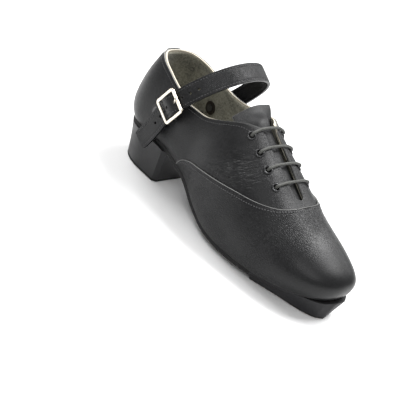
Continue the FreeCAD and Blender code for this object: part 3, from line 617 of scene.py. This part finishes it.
edge_tone = add(tree, "ShaderNodeMix", {"data_type": "RGBA"}, Factor=dressed.outputs[0], i6=tone.outputs[0],
                i7=(0.03, 0.03, 0.03, 1))
tree.links.new(edge_tone.outputs[2], shader.inputs["Base Color"])
bm = bmesh.new()
lining_columns = [x for x in quarter_columns if x < 112]
for side in (-1, 1):
    limits = {}

    def place(u, v):
        x = lining_columns[round(u * (len(lining_columns) - 1))]
        s = along(x)
        if u not in limits:
            limits[u] = quarter_top(s, side) - 0.004
        return on_last(s, -1 + (limits[u] + 1) * v, side, 2.3)

    lay_sheet(bm, len(lining_columns) - 1, 46, place)
    cut_openings(bm, eyelet_spots(side)[:2], 0.0042)
bmesh.ops.remove_doubles(bm, verts=bm.verts, dist=0.00002)
bmesh.ops.recalc_face_normals(bm, faces=bm.faces)
face_out(bm, Vector((0.04, 0, 0.06)))
piece = to_piece("quarter_lining_suede", bm, [suede], "shoe", "lining_suede", "quarter_lining")
thicken(piece, 0.8, 0)


def refinish(node, material):
    """Gives a CAD node its finish."""
    mesh = cad[node].data
    for i in range(max(1, len(mesh.materials))):
        if i < len(mesh.materials):
            mesh.materials[i] = material
        else:
            mesh.materials.append(material)


refinish("vamp_lining", suede)
refinish("sock_liner", suede)
refinish("interlining", cream)
disc_leather = grained("disc_leather", (0.03, 0.024, 0.018), 0.7, 0.8, 0.05)
refinish("rivet_patch_outer", disc_leather)
refinish("rivet_patch_inner", disc_leather)
sheet_stiff, tree, shader = surface("stiffener_sheet", (0.5, 0.42, 0.28), 0.7)
speck = add(tree, "ShaderNodeTexNoise", Vector=here(tree), Scale=700.0, Detail=4.0)
tone = blend_colors(tree, speck.outputs["Fac"], (0.4, 0.32, 0.2), (0.6, 0.52, 0.38))
tree.links.new(tone.outputs[0], shader.inputs["Base Color"])
refinish("heel_counter", sheet_stiff)
refinish("toe_puff", sheet_stiff)

# ---------------------------------------------------------------- eyelets
# Four black enamelled brass eyelets on each side, rolled over outside and spread inside the lining.
enamel, tree, shader = surface("black_enamel", (0.03, 0.03, 0.032), 0.22, Metallic=0.6, Coat_Weight=0.6)
worn = add(tree, "ShaderNodeTexNoise", Vector=here(tree), Scale=1800.0, Detail=3.0)
dull = add(tree, "ShaderNodeMapRange", Value=worn.outputs["Fac"], To_Min=0.15, To_Max=0.4)
tree.links.new(dull.outputs[0], shader.inputs["Roughness"])


def seat(x, side, across, d=0.0):
    """The point and outward direction of the last at x, `across` from its axis."""
    s, q = at_across(x, side, across, d)
    return on_last(s, q, side, d), outward(s, q, side)


bm = bmesh.new()
ring_profile = [(2.2, -3.9), (2.1, 0.3), (2.2, 0.6), (2.5, 0.82), (2.9, 0.8), (3.25, 0.55), (3.4, 0.25),
                (3.35, 0.05), (2.75, 0.05), (2.7, -3.3), (3.3, -3.35), (3.2, -3.75), (2.25, -3.9)]
for side in (-1, 1):
    for x in EYELET_X:
        p, n = seat(x, side, EYELET_Y)
        verts = [bm.verts.new((r, 0, h)) for r, h in ring_profile[:-1]]
        edges = [bm.edges.new((a, b)) for a, b in zip(verts, verts[1:] + verts[:1])]
        bmesh.ops.spin(bm, geom=verts + edges, axis=(0, 0, 1), cent=(0, 0, 0), steps=28,
                       angle=math.tau, use_merge=True)
        fresh = [v for v in bm.verts if not v.tag]
        turn = n.to_track_quat("Z", "Y").to_matrix().to_4x4()
        bmesh.ops.transform(bm, matrix=Matrix.Scale(MM, 4) @ Matrix.Translation(p) @ turn, verts=fresh)
        for v in fresh:
            v.tag = True
bmesh.ops.recalc_face_normals(bm, faces=bm.faces)
to_piece("eyelet_rings", bm, [enamel], "shoe", "eyelet_black", "eyelets")

# ---------------------------------------------------------------- tongue
# A soft black calf tongue, cut square at the top and sewn in at the throat. It lies under the lace.
TONGUE_HALF = [(69, 17), (80, 16), (92, 18), (120, 18), (143, 13)]
TONGUE_DEPTH = [(69, 7), (90, 7.6), (130, 7.4), (138, 5.6), (143, 4.2)]
tongue_calf = grained("tongue_calf", (0.016, 0.0162, 0.017), 0.45, 1.2, 0.12, 0.8)


def tongue_point(x, y, extra=0.0):
    side = -1 if y < 0 else 1
    d = smooth(TONGUE_DEPTH, x) + extra
    d -= (d - 3.7) * max(0.0, 1 - (y / 9.5) ** 2) ** 0.7
    width = smooth(OUTER_W if side < 0 else INNER_W, x) - d
    z_mid, z_top = smooth(BULGE_Z, x), smooth(RIDGE_Z, x) - d
    z = (z_mid + (z_top - z_mid) * math.sqrt(1 - (y / width) ** 2)
         - smooth(FACING_DROP, x) * math.exp(-((y / 11) ** 2)))
    free = max(0.0, min(1.0, (87 - x) / 15))
    free = free * free * (3 - 2 * free)
    # its free end leans to the inner side
    leaning = 94.8 + 0.33 * y - 0.0118 * y * y - 0.62 * (x - 69.5) - extra
    return Vector((x, y + smooth(AXIS_Y, x), z + (leaning - z) * free))


bm = bmesh.new()


def place(u, v):
    x = 69 + (143 - 69) * u
    y = (v * 2 - 1) * smooth(TONGUE_HALF, x)
    fade = max(0.0, 1 - u * 1.6)
    x += 2.3 * max(0.0, 1 - u * 4) * (v - 0.5)
    ripple = 0.3 * fade * math.sin(v * 9 + u * 7)
    return tongue_point(x, y, ripple)


lay_sheet(bm, 60, 36, place)
bmesh.ops.recalc_face_normals(bm, faces=bm.faces)
face_out(bm, Vector((0.11, 0, 0.0)))
tongue = to_piece("tongue_leather", bm, [tongue_calf, raw_edge_and_highlight], None, "tongue_leather", "tongue")
thicken(tongue, 2.2, 1, 0.4)
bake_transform(tongue)

# ---------------------------------------------------------------- lace
# One round waxed cotton lace in straight bars: it crosses outside at each pair of eyelets, climbs inside,
# and both its ends are tucked away under the outer quarter.
UNDER = 5.2
lace_cotton, tree, shader = surface("waxed_cotton", (0.028, 0.03, 0.026), 0.55, Sheen_Weight=0.15)
place_in = here(tree)
braid = add(tree, "ShaderNodeTexVoronoi", Vector=place_in, Scale=1500.0)
bump = add(tree, "ShaderNodeBump", Strength=0.9, Distance=0.00015, Height=braid.outputs["Distance"])
tree.links.new(bump.outputs[0], shader.inputs["Normal"])
tone = blend_colors(tree, braid.outputs["Distance"], (0.056, 0.058, 0.05), (0.016, 0.017, 0.0145))
tree.links.new(tone.outputs[0], shader.inputs["Base Color"])


def lace_bar(row, first):
    x = EYELET_X[row]
    run = []
    for side, heights in ((first, (-UNDER, -1.0, 1.5)), (-first, (1.5, -1.0, -UNDER))):
        p, n = seat(x, side, EYELET_Y)
        leg = [p + n * h for h in heights]
        over = [seat(x, side, y)[0] + seat(x, side, y)[1] * h
                for y, h in ((15.6, 1.85), (13.2, 1.35), (8.4, 1.2))]
        run += leg + over if side == first else over[::-1] + leg
    return run


def inside(row, side, across, ahead=0.0):
    return [seat(EYELET_X[row] + ahead, side, across, UNDER)[0]]


route = inside(0, -1, 18.3, 8.0) + lace_bar(0, -1) + inside(1, 1, 13.7) + lace_bar(2, 1)
route += lace_bar(3, -1) + inside(2, 1, 21.0) + lace_bar(1, 1) + inside(1, -1, 18.3, 7.5)
cord = bpy.data.curves.new("lace_cord", "CURVE")
cord.dimensions = "3D"
cord.bevel_depth = 1.12 * MM
cord.bevel_resolution = 4
cord.resolution_u = 6
cord.use_fill_caps = True
spline = cord.splines.new("NURBS")
spline.points.add(len(route) - 1)
for knot, p in zip(spline.points, route):
    knot.co = (*(p * MM), 1)
spline.order_u = 3
spline.use_endpoint_u = True
lace = bpy.data.objects.new("lace_cord", cord)
cord.materials.append(lace_cotton)
scene.collection.objects.link(lace)
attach(lace, "shoe")
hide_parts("lace")

# ---------------------------------------------------------------- soles
# The outsole is black roughed leather, bevelled under; the insole board, shank and cork lie over it.
sole_black, tree, shader = surface("roughed_sole", (0.012, 0.012, 0.0125), 0.85, Specular_IOR_Level=0.25)
place_in = here(tree)
nap = add(tree, "ShaderNodeTexNoise", Vector=place_in, Scale=1500.0, Detail=4.0)
scuff = add(tree, "ShaderNodeTexNoise", Vector=place_in, Scale=60.0, Detail=4.0)
bump = add(tree, "ShaderNodeBump", Strength=0.7, Distance=0.0002, Height=nap.outputs["Fac"])
tree.links.new(bump.outputs[0], shader.inputs["Normal"])
tone = blend_colors(tree, scuff.outputs["Fac"], (0.008, 0.008, 0.0085), (0.025, 0.0245, 0.024))
tree.links.new(tone.outputs[0], shader.inputs["Base Color"])
SOLE_STEPS = 150
SOLE_IN = [(-34, 0.35), (-12, 0.4), (6, 1.1), (26, 1.1), (50, 0.5), (90, 1.2), (138, 1.4), (150, 2.6),
           (205.5, 2.8)]
sole_columns = [BACK_X + (TOE_X - BACK_X) * (1 - math.cos(math.pi * i / SOLE_STEPS)) / 2
                for i in range(SOLE_STEPS + 1)]
bm = bmesh.new()


def place(u, v):
    s = along(sole_columns[round(u * SOLE_STEPS)])
    x = BACK_X + (TOE_X - BACK_X) * s
    a, b = (on_last(s, -1, side, smooth(SOLE_IN, x)) for side in (-1, 1))
    p = a.lerp(b, v)
    p.z = smooth(FEATHER_Z, p.x) - 0.15
    return p


lay_sheet(bm, SOLE_STEPS, 12, place)
bmesh.ops.remove_doubles(bm, verts=bm.verts, dist=0.00002)
bmesh.ops.recalc_face_normals(bm, faces=bm.faces)
if sum(f.normal.z for f in bm.faces) < 0:
    bmesh.ops.reverse_faces(bm, faces=bm.faces)
sole = to_piece("outsole_leather", bm, [sole_black], "shoe", "sole_leather", "outsole")
thicken(sole, 3.85, 0, 0.5)
board, tree, shader = surface("insole_board", (0.42, 0.33, 0.2), 0.8)
speck = add(tree, "ShaderNodeTexNoise", Vector=here(tree), Scale=900.0, Detail=5.0)
tone = blend_colors(tree, speck.outputs["Fac"], (0.3, 0.22, 0.12), (0.55, 0.45, 0.3))
tree.links.new(tone.outputs[0], shader.inputs["Base Color"])
refinish("insole_board", board)
refinish("sole_filler", board)
zinc, tree, shader = surface("zinc_plate", (0.6, 0.6, 0.62), 0.35, Metallic=1.0)
haze = add(tree, "ShaderNodeTexNoise", Vector=here(tree), Scale=400.0)
dull = add(tree, "ShaderNodeMapRange", Value=haze.outputs["Fac"], To_Min=0.25, To_Max=0.5)
tree.links.new(dull.outputs[0], shader.inputs["Roughness"])
for node in ("shank", "heel_screw", "heel_nails", "tip_screws"):
    refinish(node, zinc)

# ---------------------------------------------------------------- heel
# A hollow block moulded in black resin, screwed and nailed on from inside, with a hard rubber lift under it.
resin, tree, shader = surface("black_resin", (0.011, 0.011, 0.012), 0.38, Specular_IOR_Level=0.4)
place_in = here(tree)
orange = add(tree, "ShaderNodeTexNoise", Vector=place_in, Scale=500.0, Detail=3.0)
rub = add(tree, "ShaderNodeTexNoise", Vector=place_in, Scale=70.0, Detail=5.0)
bump = add(tree, "ShaderNodeBump", Strength=0.5, Distance=0.00012, Height=orange.outputs["Fac"])
tree.links.new(bump.outputs[0], shader.inputs["Normal"])
dull = add(tree, "ShaderNodeMapRange", Value=rub.outputs["Fac"], From_Min=0.3, From_Max=0.7, To_Min=0.3,
           To_Max=0.55)
tree.links.new(dull.outputs[0], shader.inputs["Roughness"])
refinish("heel_block", resin)
hard_rubber, tree, shader = surface("hard_rubber", (0.008, 0.008, 0.008), 0.7, Specular_IOR_Level=0.3)
grit = add(tree, "ShaderNodeTexNoise", Vector=here(tree), Scale=1200.0, Detail=4.0)
bump = add(tree, "ShaderNodeBump", Strength=0.6, Distance=0.0002, Height=grit.outputs["Fac"])
tree.links.new(bump.outputs[0], shader.inputs["Normal"])
refinish("heel_lift", hard_rubber)

# ---------------------------------------------------------------- toe tip
# The sounding tip: a wedge of resin and glass cloth, moulded and ground flat. Its sides are painted black,
# and the tread face is left bare, tan with the weave of the cloth showing.
TIP_FOOT = [(147.5, -31.0), (169, -23.4), (184.4, -19), (192.3, -15.5), (198.5, -11.2), (201.6, -6.0),
            (199.4, 2.5), (196.0, 9.0), (190.0, 13.6), (183.0, 17.0), (168.5, 22.0), (147.5, 29.0)]
TIP_HEAD = [(147.5, -1), (171, -1), (186.8, -1), (194.8, -1), (199.8, -1), (203, -1), (203, 1), (199.6, 1),
            (193.8, 1), (185.6, 1), (170.5, 1), (147.5, 1)]
tip_paint, tree, shader = surface("tip_paint", (0.011, 0.011, 0.0125), 0.5, Specular_IOR_Level=0.25)
place_in = here(tree)
orange = add(tree, "ShaderNodeTexNoise", Vector=place_in, Scale=420.0, Detail=4.0)
bump = add(tree, "ShaderNodeBump", Strength=0.5, Distance=0.00015, Height=orange.outputs["Fac"])
tree.links.new(bump.outputs[0], shader.inputs["Normal"])
glass_cloth, tree, shader = surface("bare_composite", (0.33, 0.26, 0.15), 0.5)
place_in = here(tree)
warp = add(tree, "ShaderNodeTexWave", {"bands_direction": "X"}, Vector=place_in, Scale=260.0, Distortion=1.0)
weft = add(tree, "ShaderNodeTexWave", {"bands_direction": "Y"}, Vector=place_in, Scale=260.0, Distortion=1.0)
cloth = add(tree, "ShaderNodeMath", {"operation": "MULTIPLY"}, i0=warp.outputs["Fac"], i1=weft.outputs["Fac"])
stain = add(tree, "ShaderNodeTexNoise", Vector=place_in, Scale=50.0, Detail=4.0)
mixed = add(tree, "ShaderNodeMath", {"operation": "MULTIPLY_ADD"}, i0=cloth.outputs[0], i1=0.45,
            i2=stain.outputs["Fac"])
tone = blend_colors(tree, mixed.outputs[0], (0.17, 0.12, 0.06), (0.42, 0.34, 0.2))
tone.color_ramp.elements[0].position, tone.color_ramp.elements[1].position = 0.35, 0.9
tree.links.new(tone.outputs[0], shader.inputs["Base Color"])
bump = add(tree, "ShaderNodeBump", Strength=0.5, Distance=0.0001, Height=cloth.outputs[0])
tree.links.new(bump.outputs[0], shader.inputs["Normal"])


def round_the_tip(t, ring):
    """A point of a ring of corners, t from 0 to 1, smoothed between them."""
    k = t * (len(ring) - 1)
    i = min(int(k), len(ring) - 2)
    p = [ring[max(0, min(len(ring) - 1, j))] for j in (i - 1, i, i + 1, i + 2)]
    f = k - i
    if 4 <= i <= 6:
        return p[1].lerp(p[2], f)
    return 0.5 * ((2 * p[1]) + (p[2] - p[0]) * f + (2 * p[0] - 5 * p[1] + 4 * p[2] - p[3]) * f**2
                  + (3 * p[1] - p[0] - 3 * p[2] + p[3]) * f**3)


TIP_RING, TIP_ROUND = 84, 72  # corners of the ring, and those before its straight rear edge
foot = [Vector((x, y, 0)) for x, y in TIP_FOOT]
head = []
for x, side in TIP_HEAD:
    rim = on_last(along(x + 2.0 if x > 150 else x), -1, side, 1.0)
    head.append(Vector((x + (1.8 if x > 190 else 0.0), rim.y, smooth(FEATHER_Z, x) - 0.45)))
bm = bmesh.new()
bottom = bmesh.ops.create_circle(bm, segments=TIP_RING, radius=1, cap_ends=True)["verts"]
bottom_face = list(bm.faces)
bmesh.ops.reverse_faces(bm, faces=bottom_face)
raised = bmesh.ops.extrude_face_region(bm, geom=bottom_face)
tops = [g for g in raised["geom"] if isinstance(g, bmesh.types.BMVert)]


def ring_place(v, ring):
    """The circle's last twelve vertices make the straight rear edge."""
    turn = (math.atan2(v.co.y, v.co.x) / math.tau) % 1.0
    k = round(turn * TIP_RING)
    if k <= TIP_ROUND:
        return round_the_tip(k / TIP_ROUND, ring)
    return ring[-1].lerp(ring[0], (k - TIP_ROUND) / (TIP_RING - TIP_ROUND))


bottom = [v for v in bm.verts if v not in set(tops)]
spots = [(v, ring_place(v, foot) * MM) for v in bottom] + [(v, ring_place(v, head) * MM) for v in tops]
for v, spot in spots:
    v.co = spot
bmesh.ops.recalc_face_normals(bm, faces=bm.faces)
tread = [f for f in bm.faces if f.normal.z < -0.99 and f.calc_area() > 1e-4]
for f in tread:
    f.material_index = 1
rim_edges = [e for e in bm.edges if all(v.co.z < 1e-6 for v in e.verts) and len(e.link_faces) == 2]
bmesh.ops.bevel(bm, geom=rim_edges, offset=0.7 * MM, segments=3, profile=0.5, affect="EDGES", material=-1)
for f in bm.faces:
    if len(f.verts) > 20:
        f.smooth = False
tip = to_piece("toe_tip_wedge", bm, [tip_paint, glass_cloth], "shoe", "tip_composite", "toe_tip")
edge = tip.modifiers.new("edge", "BEVEL")
edge.width = 0.5 * MM
edge.segments = 2
edge.limit_method = "ANGLE"
edge.angle_limit = math.radians(40)

# ---------------------------------------------------------------- ankle strap
# Two layers of black calf sewn back to back along both edges, riveted to the inner quarter, over the instep,
# through the buckle on the outer side and hanging free below it. Round holes are punched down its middle.
BUCKLE = Vector((24, 0, 69.5))
ALONG = Vector((0.51, 0, 0.86)).normalized()
ACROSS = Vector((0.86, 0, -0.51)).normalized()
PIVOT = Vector((10.5, 0, 57.5))
STRAP_LINE = [(-43, -36.0, 5.5), (-31, -36.0, 4.6), (-20, -35.4, 2.6), (-12, -34.7, 0.6),
              (-8.5, -34.5, 0), (-5.6, -34.9, 0), (-2.4, -36.9, 0), (1.2, -38.2, 0), (4.6, -38.0, 0),
              (7.8, -36.3, 0), (10.4, -34.7, 0), (13.5, -33.9, 0), (17, -32.6, 0),
              (24, -28.6, 0), (32, -22.8, 0), (40, -14.5, 0), (46.5, -4, 0), (49.8, 9, 0),
              (48.6, 21.5, 0), (43, 31, 0), (33, 36.2, 0), (22, 37.0, -0.3), (10, 35.8, -1.0),
              (-3, 34.0, -2.2), (-12, 32.6, -3.1), (-26, 31.8, -3.8)]
strap_knots = [BUCKLE + ALONG * s + ACROSS * n + Vector((0, y, 0)) for s, y, n in STRAP_LINE]


def strap_line(count):
    """Evenly spaced points on a line through the strap's knots, with its across and outward directions."""
    fine = []
    for i in range(len(strap_knots) - 1):
        p = [strap_knots[max(0, min(len(strap_knots) - 1, j))] for j in (i - 1, i, i + 1, i + 2)]
        k1, k2, k3 = [(b - a).length ** 0.5 or 1 for a, b in zip(p, p[1:])]
        m1 = (p[2] - p[1] + ((p[1] - p[0]) / k1 - (p[2] - p[0]) / (k1 + k2)) * k2)
        m2 = (p[2] - p[1] + ((p[3] - p[2]) / k3 - (p[3] - p[1]) / (k2 + k3)) * k2)
        for j in range(16):
            t = j / 16
            fine.append(p[1] * (2 * t**3 - 3 * t**2 + 1) + m1 * (t**3 - 2 * t**2 + t)
                        + p[2] * (3 * t**2 - 2 * t**3) + m2 * (t**3 - t**2))
    fine.append(strap_knots[-1])
    lengths = [0.0]
    for a, b in zip(fine, fine[1:]):
        lengths.append(lengths[-1] + (b - a).length)
    total, j, line = lengths[-1], 0, []
    for i in range(count):
        want = total * i / (count - 1)
        while j < len(fine) - 2 and lengths[j + 1] < want:
            j += 1
        f = (want - lengths[j]) / (lengths[j + 1] - lengths[j])
        line.append(fine[j].lerp(fine[j + 1], f))
    frames = []
    for i, p in enumerate(line):
        t = (line[min(count - 1, i + 1)] - line[max(0, i - 1)]).normalized()
        w = (ACROSS - t * ACROSS.dot(t)).normalized()
        frames.append((p, w, w.cross(t).normalized()))
    return frames, total


STRAP_ROWS = 260
STRAP_HALF = 7.7
HOLE_PITCH = 7.2
frames, strap_length = strap_line(STRAP_ROWS)
strap_calf = grained("strap_calf", (0.009, 0.0092, 0.01), 0.36, 1.1, 0.16, 0.3)
pivot_row = min(range(STRAP_ROWS // 2, STRAP_ROWS),
                key=lambda i: (frames[i][0] - PIVOT).cross(Vector((0, 1, 0))).length)
end_row = pivot_row + (STRAP_HALF / strap_length) * (STRAP_ROWS - 1)


def strap_half(row):
    """Half the strap's width: square at its free end, a half circle round its rivet."""
    half = STRAP_HALF
    past = (row - pivot_row) * strap_length / (STRAP_ROWS - 1)
    if past > 0:
        half = math.sqrt(max(0.0, STRAP_HALF**2 - past**2))
    start = row * strap_length / (STRAP_ROWS - 1)
    return max(1.2, half - 0.5 * max(0.0, 1 - start / 1.5))


def strap_at(row, w, out):
    """A point of the strap: w across it and out from its middle layer."""
    i = min(int(row), STRAP_ROWS - 2)
    f = row - i
    a, b = frames[i], frames[i + 1]
    return a[0].lerp(b[0], f) + a[1].lerp(b[1], f) * w + a[2].lerp(b[2], f) * out


per_row = strap_length / (STRAP_ROWS - 1)
prong_row = min(range(STRAP_ROWS // 2), key=lambda i: abs((frames[i][0] - BUCKLE).dot(ALONG) - 8.0))
holes = [prong_row * per_row + (k - 4) * HOLE_PITCH for k in range(8)]
bm = bmesh.new()
bmesh.ops.create_grid(bm, x_segments=520, y_segments=30, size=0.5)
for v in bm.verts:
    v.co.x = (v.co.x + 0.5) * end_row * per_row
    v.co.y = v.co.y * 2 * strap_half(v.co.x / per_row)
for centre in holes:
    spot = Vector((centre, 0, 0))
    inside_hole = [f for f in bm.faces if (f.calc_center_median() - spot).length < 1.1]
    rim = {v for f in inside_hole for v in f.verts}
    bmesh.ops.delete(bm, geom=inside_hole, context="FACES")
    for v in rim:
        if v.is_valid:
            v.co = spot + (v.co - spot).normalized() * 1.05
for v in bm.verts:
    row, w = v.co.x / per_row, v.co.y / strap_half(v.co.x / per_row)
    crown = 0.2 * (1 - w**4) - 0.3 * math.exp(-(((abs(w) - 0.74) / 0.06) ** 2))
    v.co = strap_at(row, v.co.y, 1.0 + crown) * MM
bmesh.ops.recalc_face_normals(bm, faces=bm.faces)
middle = frames[20]
near = [f for f in bm.faces if (f.calc_center_median() - middle[0] * MM).length < 0.01]
if sum(f.normal.dot(middle[2]) for f in near) < 0:
    bmesh.ops.reverse_faces(bm, faces=bm.faces)
strap = to_piece("ankle_strap_leather", bm, [strap_calf, raw_edge_and_highlight], "strap", "strap_leather", "ankle_strap")
thicken(strap, 2.1, 0, 0.5)

bm = bmesh.new()
for edge_side in (-1, 1):
    for face in (1, -1):
        path = []
        for i in range(400):
            row = 2.5 + (end_row - 5) * i / 399
            w = edge_side * (strap_half(row) - 1.85)
            out = strap_at(row, w, 1) - strap_at(row, w, 0)
            path.append((strap_at(row, w, 1.13 * face), out.normalized() * face))
        stitch(bm, path, 2.3, 1.6, 0.27)
to_piece("strap_stitching", bm, [thread], "strap", "strap_leather")

# ---------------------------------------------------------------- buckle, chape and rivets
# A cast frame with a centre bar and a loose prong, nickel plated. A folded piece of calf, the chape, holds
# the bar; it and the strap's inner end are riveted through the quarters.
nickel, tree, shader = surface("polished_nickel", (0.7, 0.64, 0.54), 0.14, Metallic=1.0)
place_in = here(tree)
rub = add(tree, "ShaderNodeTexNoise", Vector=place_in, Scale=600.0, Detail=4.0)
dull = add(tree, "ShaderNodeMapRange", Value=rub.outputs["Fac"], To_Min=0.08, To_Max=0.26)
tree.links.new(dull.outputs[0], shader.inputs["Roughness"])
tarnish = add(tree, "ShaderNodeTexNoise", Vector=place_in, Scale=200.0, Detail=2.0)
tone = blend_colors(tree, tarnish.outputs["Fac"], (0.6, 0.53, 0.42), (0.92, 0.88, 0.8))
tree.links.new(tone.outputs[0], shader.inputs["Base Color"])
FRAME_LONG, FRAME_WIDE, WIRE = 21.5, 21.2, 2.4  # outside along and across the strap, and its sides' width
bm = bmesh.new()
bmesh.ops.create_grid(bm, x_segments=1, y_segments=1, size=0.5)
for v in bm.verts:
    v.co = Vector((v.co.x * FRAME_LONG, v.co.y * FRAME_WIDE, 0))
bmesh.ops.bevel(bm, geom=list(bm.verts), offset=2.6, segments=5, profile=0.5, affect="VERTICES", material=-1)
bmesh.ops.inset_region(bm, faces=list(bm.faces), thickness=WIRE, use_boundary=True, use_even_offset=True)
opening = [f for f in bm.faces if all(abs(v.co.x) < FRAME_LONG / 2 - WIRE + 0.1
                                      and abs(v.co.y) < FRAME_WIDE / 2 - WIRE + 0.1 for v in f.verts)]
bmesh.ops.delete(bm, geom=opening, context="FACES")
bmesh.ops.recalc_face_normals(bm, faces=bm.faces)
raised = bmesh.ops.extrude_face_region(bm, geom=list(bm.faces))
top = [g for g in raised["geom"] if isinstance(g, bmesh.types.BMVert)]
bmesh.ops.translate(bm, vec=(0, 0, 1.7), verts=top)
bmesh.ops.recalc_face_normals(bm, faces=bm.faces)
sharp = [e for e in bm.edges if len(e.link_faces) == 2 and e.calc_face_angle() > 1.2]
bmesh.ops.bevel(bm, geom=sharp, offset=0.45, segments=3, profile=0.5, affect="EDGES", material=-1)
BAR_AT = Vector((-2.4, 0, -2.75))
bmesh.ops.create_cone(bm, cap_ends=True, segments=20, radius1=0.9, radius2=0.9, depth=20.2,
                      matrix=Matrix.Translation(BAR_AT) @ Matrix.Rotation(math.pi / 2, 4, "X"))
for lug in (-9.3, 9.3):
    bmesh.ops.create_cube(bm, size=1, matrix=Matrix.Translation(BAR_AT + Vector((0, lug, 1.1)))
                          @ Matrix.Diagonal((2.0, 1.8, 4.0, 1)))
to_shoe = Matrix((ALONG, ACROSS, Vector((0, -1, 0)))).transposed().to_4x4()
frame_middle = BUCKLE + ALONG * 2.4 + Vector((0, -36.75, 0))
bmesh.ops.transform(bm, matrix=Matrix.Scale(MM, 4) @ Matrix.Translation(frame_middle) @ to_shoe,
                    verts=bm.verts)
bmesh.ops.recalc_face_normals(bm, faces=bm.faces)
to_piece("buckle_frame_cast", bm, [nickel], "buckle", "buckle_metal", "buckle_frame")
refinish("buckle_prong", nickel)
refinish("buckle_chape", strap_calf)
refinish("strap_rivet_outer", enamel)
refinish("strap_rivet_inner", enamel)
